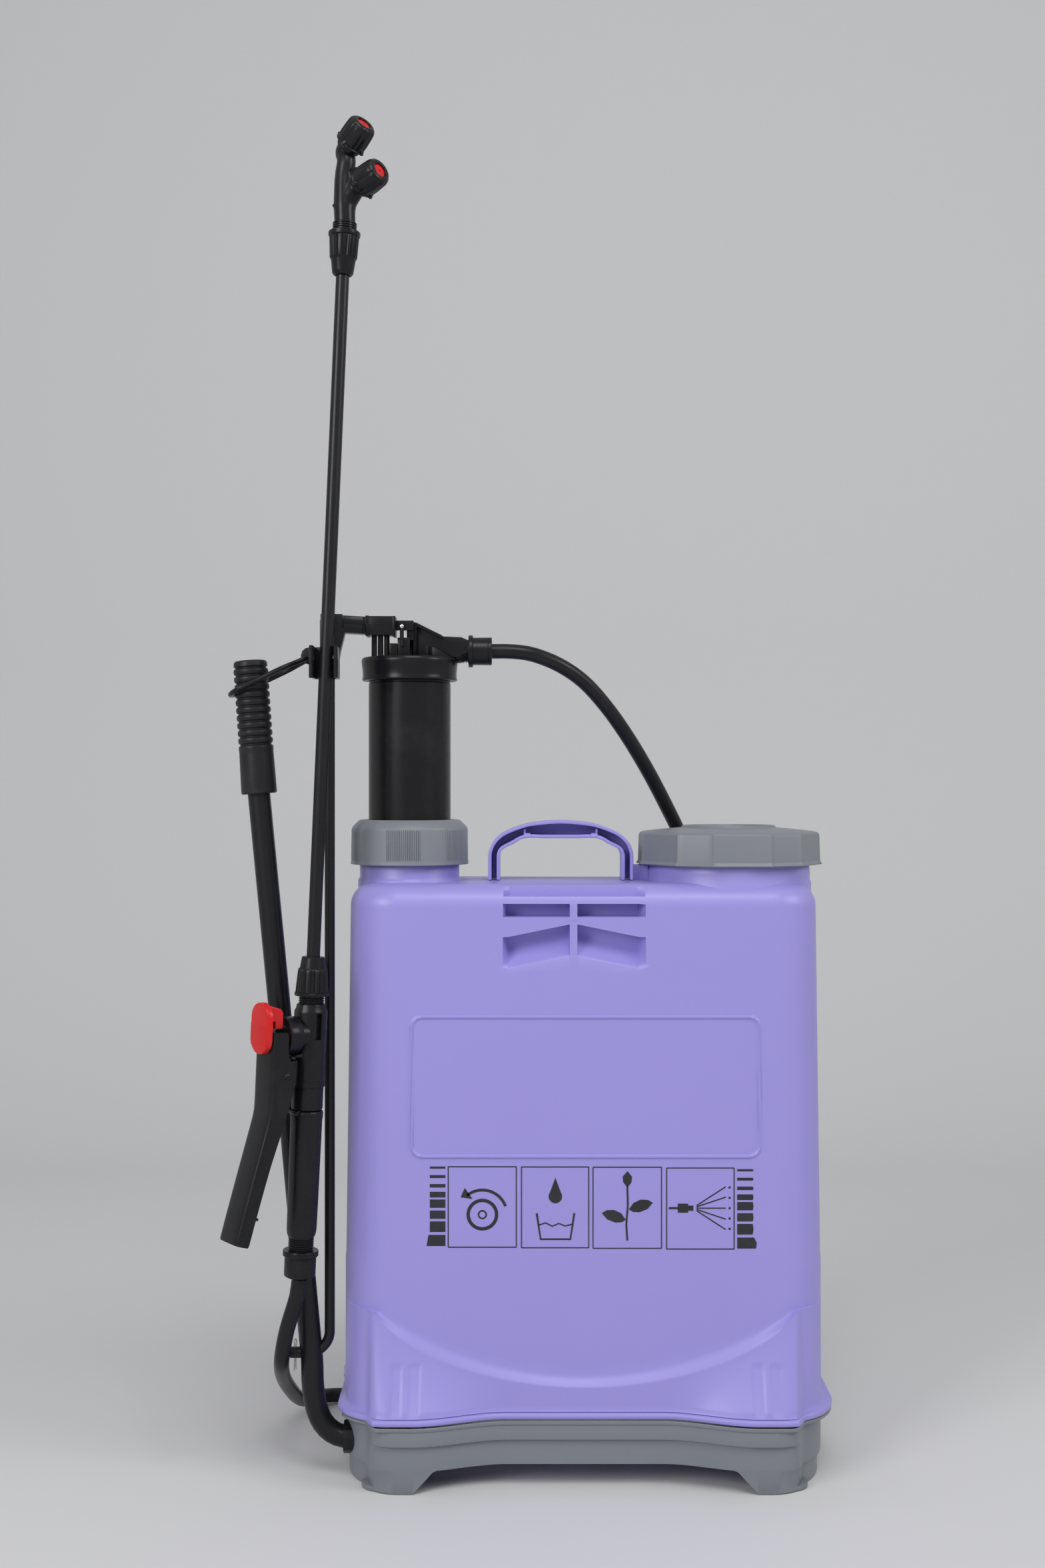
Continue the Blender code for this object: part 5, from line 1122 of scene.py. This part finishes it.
# ---- Trigger ------------------------------------------------------------------------
# A channel-shaped black lever with a crowned, glossy front, round ears on its pin and a
# small peg low on its inner side.
TRIGGER = VALVE @ shift(TRIGGER_D, 0, TRIGGER_Z)
TRIGGER_STATIONS = [
    (14.0, 33.3, 2.4, 33.3), (14.0, 31.0, 1.0, 31.0), (14.0, 24.0, 1.0, 24.0), (14.0, 17.0, 0.6, 15.6),
    (14.0, 13.0, -1.6, 11.6), (14.0, 9.0, -4.8, 8.0), (14.0, 4.5, -6.3, 3.6), (14.0, 0.0, -6.5, -1.0),
    (14.0, -6.0, -6.1, -7.0), (14.0, -14.0, -4.2, -15.0), (14.0, -21.0, -2.0, -23.0),
    (14.2, -27.0, 0.2, -30.0), (15.2, -33.0, 2.4, -37.0), (17.0, -40.0, 4.8, -45.0),
    (19.4, -49.0, 7.8, -54.0), (23.0, -62.5, 12.0, -67.0), (27.0, -77.6, 16.2, -81.5),
    (31.2, -93.6, 20.6, -97.5), (35.2, -109.0, 24.6, -112.5), (37.8, -119.4, 27.2, -122.6),
    (38.6, -122.6, 28.2, -125.6), (38.4, -123.9, 29.2, -126.4)]
HALF, THICK = 14.0, 2.6         # the channel's half width and wall
OUTSIDE = [(4.5, -HALF), (2.4, -HALF + 0.3), (1.1, -HALF + 1.1), (0.35, -HALF + 2.6), (0, -HALF + 5.0),
           (-0.25, -4), (-0.3, 0)]
INSIDE = [(4.8, HALF - THICK), (3.0, HALF - THICK - 1.6), (3.0, -HALF + THICK + 1.6), (4.8, -HALF + THICK)]
rings = []
for front_x, front_z, rear_x, rear_z in TRIGGER_STATIONS:
    front, rear = Vector((front_x, 0, front_z)), Vector((rear_x, 0, rear_z))
    inward = (rear - front).normalized()
    outline = [(rear, -HALF), *((front + inward * deep, y) for deep, y in OUTSIDE)]
    outline += [(p, -y) for p, y in reversed(outline[:-1])]
    outline += [(rear, HALF - THICK), *((front + inward * deep, y) for deep, y in INSIDE),
                (rear, -HALF + THICK)]
    rings.append([(p.x, y, p.z) for p, y in outline])
trigger = loft("trigger_channel", rings)
cut(trigger, bar("stem_window", (-8, -11.2, 15.5), (10.4, 11.2, 36)))
peg = turned("trigger_peg", [(0, 0), (1.1, 0), (1.1, 6.4), (0.7, 7.0), (0, 7.1)], 16)
peg.data.transform(shift(26.6, 12.0, -104) @ rotate(-110, "Y"))
settle(merged(trigger, peg), BLACK, "trigger", "trigger", place=TRIGGER, angle=34)
pin = turned("trigger_pivot", [
    (0, 15.3), (1.6, 15.2), (2.5, 14.7), (2.9, 14.1), (2.0, 14.0), (2.0, -14.0), (2.9, -14.1), (2.5, -14.7),
    (1.6, -15.2), (0, -15.3)], 24)
settle(pin, BLACK, "lance", "trigger_pin", slot="zinc_steel", place=TRIGGER @ rotate(90, "X"))

# ---- Trigger lock -------------------------------------------------------------------
# A red slide on the trigger's head with round ends; fine ridges for the thumb cover its
# lower part, and a hook runs back over the trigger.
LOCK_X, LOCK_Z, LOCK_HALF_WIDE, LOCK_HALF_HIGH, LOCK_ROUND = 16.9, 35.8, 12.6, 19.4, 11.6


def lock_outline(shrink):
    """The slide's round-ended outline as (y, z) points, drawn in by shrink."""
    radius = LOCK_ROUND - shrink
    turns = [(side_y, side_z, math.radians(start + 11.25 * index)) for side_y, side_z, start in
             ((1, 1, 0), (-1, 1, 90), (-1, -1, 180), (1, -1, 270)) for index in range(9)]
    return [(side_y * (LOCK_HALF_WIDE - LOCK_ROUND) + radius * math.cos(turn),
             side_z * (LOCK_HALF_HIGH - LOCK_ROUND) + radius * math.sin(turn))
            for side_y, side_z, turn in turns]


rings = [[(LOCK_X + x, y, LOCK_Z + z) for y, z in lock_outline(shrink)]
         for x, shrink in ((-2.5, 0.4), (-2.2, 0.0), (1.5, 0.0), (2.1, 0.3), (2.4, 0.9), (2.5, 1.8))]
lock = loft("lock_slide", rings)
ridges = []
for index in range(15):
    z = 3.0 - 1.15 * index
    reach = LOCK_HALF_WIDE - 0.25
    below = -z - (LOCK_HALF_HIGH - LOCK_ROUND)
    if below > 0:
        reach = LOCK_HALF_WIDE - LOCK_ROUND + math.sqrt(max(0.0, LOCK_ROUND ** 2 - below ** 2)) - 0.25
    ridges.append(rounded(bar(f"lock_ridge_{index}", (LOCK_X + 1.2, -reach, LOCK_Z + z - 0.36),
                              (LOCK_X + 2.75, reach, LOCK_Z + z + 0.36)), 0.3, 2))
hook = rounded(slab("lock_hook", [
    (15.6, 53.6), (5.6, 50.8), (3.2, 48.0), (3.2, 35.8), (9.6, 35.8), (9.6, 41.5), (14.6, 41.5),
    (15.6, 35.8)], -8, 8), 0.9)
settle(merged(lock, *ridges, hook), RED, "lock", "trigger_lock", place=TRIGGER, angle=32)

# ---- Shoulder straps ----------------------------------------------------------------
# Two black webbing straps hang slack down the back, each looped over a pin in a pair of
# moulded ears at its top and foot and sewn back on itself, with a slide buckle below.
STRAP_X, STRAP_HALF, STRAP_THICK = 58.0, 19.0, 1.8
STRAP_LINE = [(101.6, 398), (98.6, 410), (92.6, 421), (85.6, 428), (81.3, 433.4), (81.6, 438.4),
              (85.0, 440.7), (89.6, 439.2), (94.8, 434), (99.4, 425), (102.2, 412), (104.2, 396),
              (106, 340), (105, 270), (101, 200), (96, 140), (90.9, 104), (86.8, 84), (84.3, 70),
              (83.2, 64.6), (80.6, 62.3), (77.5, 64), (77.7, 69), (80.9, 78), (85.4, 94), (89.8, 112),
              (92.6, 126)]
TAIL_LINE = [(96.6, 138), (97.4, 130), (99.6, 120), (101.6, 104), (102.6, 88), (102.2, 72)]
UPPER_PIN, LOWER_PIN, PIN_R, EAR_IN, EAR_OUT = (84.8, 435.2), (80.5, 66.6), 2.6, 20.2, 24.0


def woven(name, colour, pitch, depth):
    """Cloth woven of ribs across and along, pitch and depth in mm."""
    material, tree, shader = new_material(name)
    place = add(tree, "ShaderNodeTexCoord", {}).outputs["Object"]
    bands = [add(tree, "ShaderNodeTexWave",
                 {"Scale": math.tau / (20 * spacing * MM), "Vector": place},
                 bands_direction=direction).outputs["Fac"]
             for direction, spacing in (("X", pitch), ("Z", pitch * 0.7))]
    weave = add(tree, "ShaderNodeMath", dict(enumerate(bands)), operation="MULTIPLY").outputs[0]
    fuzz = add(tree, "ShaderNodeTexNoise", {"Scale": 60, "Vector": place}).outputs["Fac"]
    both = add(tree, "ShaderNodeMath", {0: weave, 1: 0.6, 2: fuzz}, operation="MULTIPLY_ADD").outputs[0]
    tone = add(tree, "ShaderNodeMix", {"Factor": both, "A": (*(c * 0.45 for c in colour), 1),
                                       "B": (*colour, 1)}, data_type="RGBA").outputs["Result"]
    relief = add(tree, "ShaderNodeBump", {"Strength": 0.7, "Distance": depth * MM, "Height": weave})
    feed(tree, shader, {"Base Color": tone, "Normal": relief.outputs["Normal"], "Roughness": 0.8,
                        "Sheen Weight": 0.25})
    return material


WEBBING = woven("strap_webbing", (0.040, 0.040, 0.043), 1.7, 0.35)
MESH_CLOTH = woven("pad_cloth", (0.038, 0.038, 0.041), 1.1, 0.25)
SECTION = [(-1, 0), (-0.97, 0.42), (-0.9, 0.5), (-0.45, 0.5), (0, 0.5), (0.45, 0.5), (0.9, 0.5),
           (0.97, 0.42), (1, 0), (0.97, -0.42), (0.9, -0.5), (0.45, -0.5), (0, -0.5), (-0.45, -0.5),
           (-0.9, -0.5), (-0.97, -0.42)]


def band(name, line, x, half, thick, bow=0.0):
    """Flat webbing along a line through (y, z); bow lifts its middle."""
    path = smooth_line([(x, y, z) for y, z in line], 4)
    rings = []
    for index, point in enumerate(path):
        way = heading(path, index)
        out = Vector((0, -way.z, way.y))
        rings.append([point + Vector((half * u, 0, 0)) + out * (thick * v + bow * (1 - u * u))
                      for u, v in SECTION])
    return loft(name, rings)


def ear(name, x0, x1, outline):
    """An upright plate across X with an outline of (y, z) points."""
    return rounded(loft(name, [[(x0, y, z) for y, z in outline], [(x1, y, z) for y, z in outline]]), 0.8)


def rod_across(name, x, place, radius, half):
    pin = turned(name, [(0, -half), (radius - 0.4, -half), (radius, -half + 0.4), (radius, half - 0.4),
                        (radius - 0.4, half), (0, half)], 24)
    pin.data.transform(shift(x, *place) @ SIDEWAYS)
    return pin


UPPER_EAR = [(66, 421), (80, 427), (87.2, 430.2), (90, 434.6), (88.6, 439.6), (82, 444), (66, 449)]
LOWER_EAR = [(66, 57.4), (79, 59.8), (84.8, 62.8), (85.8, 67), (83.6, 71), (78, 74.4), (66, 79)]
for side, x in (("left", -STRAP_X), ("right", STRAP_X)):
    strap = band(f"strap_web_{side}", STRAP_LINE, x, STRAP_HALF, STRAP_THICK, 0.5)
    tail = band(f"strap_tail_{side}", TAIL_LINE, x, STRAP_HALF, STRAP_THICK, 0.8)
    settle(merged(strap, tail), WEBBING, "root", f"strap_{side}", slot="webbing", angle=50)
    ears = [ear(f"{place}_ear_{side}_{k}", x + s * EAR_IN, x + s * EAR_OUT, outline)
            for place, outline in (("upper", UPPER_EAR), ("lower", LOWER_EAR)) for k, s in enumerate((-1, 1))]
    settle(merged(*ears), LAVENDER, "root")
    pins = [rod_across(f"{place}_pin_{side}", x, at_pin, PIN_R, EAR_OUT + 1.2)
            for place, at_pin in (("upper", UPPER_PIN), ("lower", LOWER_PIN))]
    settle(merged(*pins), BLACK, "root")
    buckle = rounded(bar(f"buckle_{side}", (-24, -2.2, -13), (24, 2.2, 13)), 1.0)
    cut(applied(buckle), bar("upper_slot", (-19.8, -5, 2.2), (19.8, 5, 9.0)))
    cut(buckle, bar("lower_slot", (-19.8, -5, -9.0), (19.8, 5, -2.2)))
    buckle = rounded(buckle, 0.5)
    settle(buckle, BLACK, "root", place=shift(x, 94.6, 131) @ rotate(-7, "X"))
    stitches = []
    for turn in range(4):
        for share in range(9):
            if turn < 2:
                u, v, way = -14 + 3.5 * share, -9 + 18 * (turn % 2), (1.2, 0.25)
            else:
                u, v, way = -14 + 28 * (turn % 2), -9 + 2.25 * share, (0.25, 0.9)
            z = 409 + v
            y = 103.4 + (409 - z) * 0.12 + 0.55 * (1 - (u / STRAP_HALF) ** 2)
            stitches.append(bar(f"stitch_{turn}_{share}", (x + u - way[0], y - 1.0, z - way[1]),
                                (x + u + way[0], y + 0.3, z + way[1])))
    settle(merged(*stitches), WEBBING, "root", slot="webbing")

# ---- Shoulder pads ------------------------------------------------------------------
# Foam pads in black mesh cloth lie between the straps and the tank. They are filled a
# little, sewn across in three places and bound round the edge.
PAD_LINE = [(98.0, 386), (99.5, 340), (98.5, 270), (95.6, 217)]
PAD_HALF, PAD_THICK, PAD_ROUND, PAD_SWELL, BINDING_R = 24.6, 7.0, 12.0, 1.6, 1.5
BOUND_IN, PAD_FRAMES, PAD_VOXEL = 1.9, 12, 0.003
BOUND_HALF, BOUND_ROUND = PAD_HALF - BOUND_IN, PAD_ROUND - BOUND_IN
SEAMS = (342.0, 300.0, 258.0)
pad_path = smooth_line([(0, y, z) for y, z in PAD_LINE], 3)
PAD_LONG = line_length(pad_path)


def filled(piece):
    """Blows the pad up a little as cloth, at most PAD_SWELL mm anywhere."""
    scene = bpy.context.scene
    cloth = piece.modifiers.new("fill", "CLOTH")
    cloth.settings.use_pressure = True
    cloth.settings.uniform_pressure_force = 4
    cloth.settings.effector_weights.gravity = 0
    cloth.point_cache.frame_end = PAD_FRAMES
    before = [v.co.copy() for v in piece.data.vertices]
    for number in range(1, PAD_FRAMES + 1):
        scene.frame_set(number)
    after = piece.evaluated_get(bpy.context.evaluated_depsgraph_get())
    moved = [v.co.copy() for v in after.data.vertices]
    piece.modifiers.remove(cloth)
    scene.frame_set(1)
    for vert, start, end in zip(piece.data.vertices, before, moved):
        step = end - start
        vert.co = start + step * min(1.0, PAD_SWELL * MM / max(step.length, 1e-9))


for side, x in (("left", -STRAP_X), ("right", STRAP_X)):
    rings = []
    for index, point in enumerate(pad_path):
        way = heading(pad_path, index)
        out = Vector((0, -way.z, way.y))
        run = 0.8 + (PAD_LONG - 1.6) * index / (len(pad_path) - 1)
        end = max(0.0, PAD_ROUND - min(run, PAD_LONG - run))
        half = PAD_HALF - PAD_ROUND + math.sqrt(max(0.0, PAD_ROUND ** 2 - end ** 2))
        thick = PAD_THICK * (0.35 + 0.65 * min(1.0, min(run, PAD_LONG - run) / 6) ** 0.5)
        ring = []
        for k in range(40):
            angle = math.tau * k / 40
            u = math.copysign(abs(math.cos(angle)) ** 0.5, math.cos(angle))
            v = math.copysign(abs(math.sin(angle)) ** 0.8, math.sin(angle))
            ring.append(point + Vector((x + half * u, 0, 0)) + out * (thick / 2 * v))
        rings.append(ring)
    pad = loft(f"pad_{side}", rings)
    pad.data.transform(TO_FRAME)
    skin = pad.modifiers.new("skin", "REMESH")
    skin.mode = "VOXEL"
    skin.voxel_size = PAD_VOXEL
    applied(pad)
    filled(pad)
    pad.data.transform(TO_FRAME.inverted())
    for vert in pad.data.vertices:
        nearest = min(pad_path, key=lambda p: abs(p.z - vert.co.z))
        press = sum(math.exp(-((vert.co.z - seam) / 2.6) ** 2) for seam in SEAMS)
        edge = 1 - blend_step(0, 5, PAD_HALF - abs(vert.co.x - x))
        vert.co.y = nearest.y + (vert.co.y - nearest.y) * (1 - 0.45 * min(1.0, press)) * (1 - 0.25 * edge)
    ease = pad.modifiers.new("ease", "SUBSURF")
    ease.levels = 1
    applied(pad)
    edge_line = []
    for k in range(72):
        angle = math.tau * k / 72
        u, w = math.cos(angle), math.sin(angle)
        reach = max(abs(u) / BOUND_HALF, abs(w) / (PAD_LONG / 2 - BOUND_IN))
        spot_x, spot_w = u / reach, w / reach
        over_x, over_w = abs(spot_x) - (PAD_HALF - PAD_ROUND), abs(spot_w) - (PAD_LONG / 2 - PAD_ROUND)
        if over_x > 0 and over_w > 0:
            far = math.hypot(over_x, over_w)
            spot_x = math.copysign(PAD_HALF - PAD_ROUND + over_x / far * BOUND_ROUND, spot_x)
            spot_w = math.copysign(PAD_LONG / 2 - PAD_ROUND + over_w / far * BOUND_ROUND, spot_w)
        spot = pad_path[min(len(pad_path) - 1,
                            max(0, round((0.5 - spot_w / PAD_LONG) * (len(pad_path) - 1))))]
        edge_line.append(Vector((x + spot_x, spot.y, spot.z)))
    edge_line = smooth_line([*edge_line, edge_line[0]], 3)
    binding = loft(f"binding_{side}", tube_rings(edge_line, BINDING_R, 10))
    settle(merged(pad, binding), MESH_CLOTH, "root", f"strap_pad_{side}", slot="strap_pad", angle=60)

# ---- Print --------------------------------------------------------------------------
# Thin black ink on the tank's front: four framed signs for turning, filling, plants and
# spraying, between two stacks of bars that grow thicker downwards.
INK = finish("black_ink", (0.013, 0.013, 0.018), gloss=0.42, tone=0.4, dust=0.03)
PRINT_NEAR, PRINT_FAR, LINE = FRONT - 0.22, FRONT + 0.3, 0.8
inks = []


def inked(outline):
    inks.append(slab(f"ink_{len(inks)}", outline, PRINT_NEAR, PRINT_FAR))


def stroke(points, width=LINE):
    """A line of even width through (x, z) points."""
    points = [Vector(p) for p in points]
    left_side, right_side = [], []
    for index, point in enumerate(points):
        way = heading(points, index)
        off = Vector((-way.y, way.x)) * width / 2
        left_side.append(point + off)
        right_side.append(point - off)
    inked([(p.x, p.y) for p in [*left_side, *reversed(right_side)]])


def arc(x, z, radius, start, stop, count=16):
    steps = [math.radians(start + (stop - start) * i / count) for i in range(count + 1)]
    return [(x + radius * math.cos(a), z + radius * math.sin(a)) for a in steps]


def box_line(x0, z0, x1, z1):
    for first, last in (((x0, z0), (x1, z0)), ((x0, z1), (x1, z1)), ((x0, z0), (x0, z1)),
                        ((x1, z0), (x1, z1))):
        stroke([first, last])


FRAMES = ((-105.4, 182.8, -52.8, 245.0), (-48.8, 182.4, 3.2, 244.8), (6.5, 182.0, 59.4, 244.6),
          (63.4, 181.4, 115.5, 244.0))
for corners in FRAMES:
    box_line(*corners)
# a ring with an arrow round it
stroke(arc(-79, 208, 11, 0, 360, 32), 2.6)
stroke(arc(-79, 208, 3, 0, 360, 16), 1.2)
stroke(arc(-79, 208, 19, 20, 128), 2.2)
inked([(-95.8, 221.4), (-92.6, 228.6), (-86.6, 220.0)])
# a drop over an open vessel
inked([(-22.6, 236.5), *arc(-22.6, 222, 5.2, 35, -215, 20)])
stroke([(-37, 209), (-34, 189), (-11, 189), (-8, 209)], 1.6)
stroke([(-35.4, 200), (-30, 201.6), (-25, 199), (-20, 201.2), (-15, 199.2), (-9.6, 200.6)], 1.0)
# a sprig with two leaves
stroke([(33, 188), (32.2, 200), (33.4, 216), (33, 230)], 1.4)
for way in (-1, 1):
    lift = 4 * way
    leaf = [(0, 0), (3.5, 5), (9, 7.6), (14.6, 7.4), (18.5, 5.2), (14.5, 0.4), (8, -2.2), (3, -1.8)]
    inked([(33 + way * (1.2 + u), 208 + lift + v) for u, v in leaf])
inked([(33, 229), (29.8, 233), (29.4, 237.4), (33.2, 241.6), (36.6, 237.2), (36.2, 232.8)])
# a nozzle with its spray
inked([(72, 209.5), (80, 209.5), (80, 211), (84, 211), (84, 215), (80, 215), (80, 216.5), (72, 216.5)])
stroke([(65, 213), (72.4, 213)], 1.6)
for end_z in (196.5, 204.5, 213, 221.5, 229.5):
    stroke([(86.5, 213 + (end_z - 213) * 0.12), (109, end_z)], 0.9)
for k in range(5):
    stroke(arc(112, 197 + 8 * k, 0.5, 0, 360, 8), 0.9)
BARS = ((245.1, 1.6), (238.5, 2.2), (231.6, 2.6), (225.6, 4.3), (219.7, 6.4), (211.1, 6.3), (202.8, 8.2),
        (192.3, 8.5))
for index, (top, thick) in enumerate(BARS):
    last = index == len(BARS) - 1
    wide = 12 + 2.5 * last
    inked([(-107.6 - wide + 1.4 * last, top), (-107.6, top), (-107.6, top - thick),
           (-107.6 - wide, top - thick)])
    inked([(117.9, top - 2), (117.9 + wide - 1.4 * last, top - 2),
           (117.9 + wide + 0.6, top - 2 - thick * 0.5), (117.9 + wide, top - 2 - thick),
           (117.9, top - 2 - thick)])
settle(merged(*inks), INK, "root", slot="black_plastic", angle=30)


# ---- Studio -------------------------------------------------------------------------
# A pale sweep of floor and wall, seen through from behind, a soft light on each side and
# a high one in front. Looked at directly, the room is as pale as the paper.
PAPER_SIZE, PAPER_PLACE, WALL_HIGH, SWEEP_R = 5.4, (0, -0.8, -0.0005), 4, 0.8
DIM_ROOM, PALE_ROOM = ((0.80, 0.81, 0.83, 1), 0.40), ((0.80, 0.80, 0.805, 1), 0.64)
LIGHTS_AIM = Vector((0.05, 0, 0.45))
LIGHTS = (                      # name, place, size in metres, watts
    ("soft_left", (-1.7, -2.1, 1.5), 1.1, 30),
    ("soft_right", (2.4, -1.1, 1.9), 1.1, 22),
    ("high_front", (0.3, -1.8, 2.8), 1.4, 30),
)

deselect()
bpy.ops.mesh.primitive_plane_add(size=PAPER_SIZE, location=PAPER_PLACE)
floor = bpy.context.object
floor.name = "studio_floor"
bpy.ops.object.mode_set(mode="EDIT")
bpy.ops.mesh.select_all(action="DESELECT")
sheet = bmesh.from_edit_mesh(floor.data)
for edge in sheet.edges:
    edge.select_set(all(vert.co.y > 0 for vert in edge.verts))
bmesh.update_edit_mesh(floor.data)
bpy.ops.mesh.extrude_region_move(TRANSFORM_OT_translate={"value": (0, 0, WALL_HIGH)})
bpy.ops.object.mode_set(mode="OBJECT")
sweep = floor.modifiers.new("sweep", "BEVEL")
sweep.width = SWEEP_R
sweep.segments = 24
bpy.ops.object.modifier_apply(modifier="sweep")
bpy.ops.object.shade_smooth()

paper, tree, shader = new_material("studio_paper")
feed(tree, shader, {"Base Color": (0.68, 0.68, 0.683, 1), "Roughness": 0.9})
behind = add(tree, "ShaderNodeNewGeometry", {}).outputs["Backfacing"]
clear = add(tree, "ShaderNodeBsdfTransparent", {}).outputs["BSDF"]
either = add(tree, "ShaderNodeMixShader", {"Fac": behind, 1: shader.outputs["BSDF"], 2: clear})
feed(tree, tree.nodes["Material Output"], {"Surface": either.outputs["Shader"]})
floor.data.materials.append(paper)

world = bpy.data.worlds.new("studio_world")
bpy.context.scene.world = world
world.use_nodes = True
room = world.node_tree
dim = room.nodes["Background"]
feed(room, dim, dict(zip(("Color", "Strength"), DIM_ROOM)))
pale = add(room, "ShaderNodeBackground", dict(zip(("Color", "Strength"), PALE_ROOM)))
rays = add(room, "ShaderNodeLightPath", {}).outputs
seen = rays["Is Camera Ray"]
for kind in ("Is Glossy Ray", "Is Transmission Ray"):
    seen = add(room, "ShaderNodeMath", {0: seen, 1: rays[kind]}, operation="MAXIMUM").outputs[0]
shown = add(room, "ShaderNodeMixShader", {"Fac": seen, 1: dim.outputs["Background"],
                                          2: pale.outputs["Background"]})
feed(room, room.nodes["World Output"], {"Surface": shown.outputs["Shader"]})

for name, place, size, power in LIGHTS:
    light = bpy.data.lights.new(name, "AREA")
    light.shape = "SQUARE"
    light.size = size
    light.energy = power
    lamp = placed(name, light)
    lamp.location = place
    lamp.rotation_euler = (LIGHTS_AIM - Vector(place)).to_track_quat("-Z", "Y").to_euler()
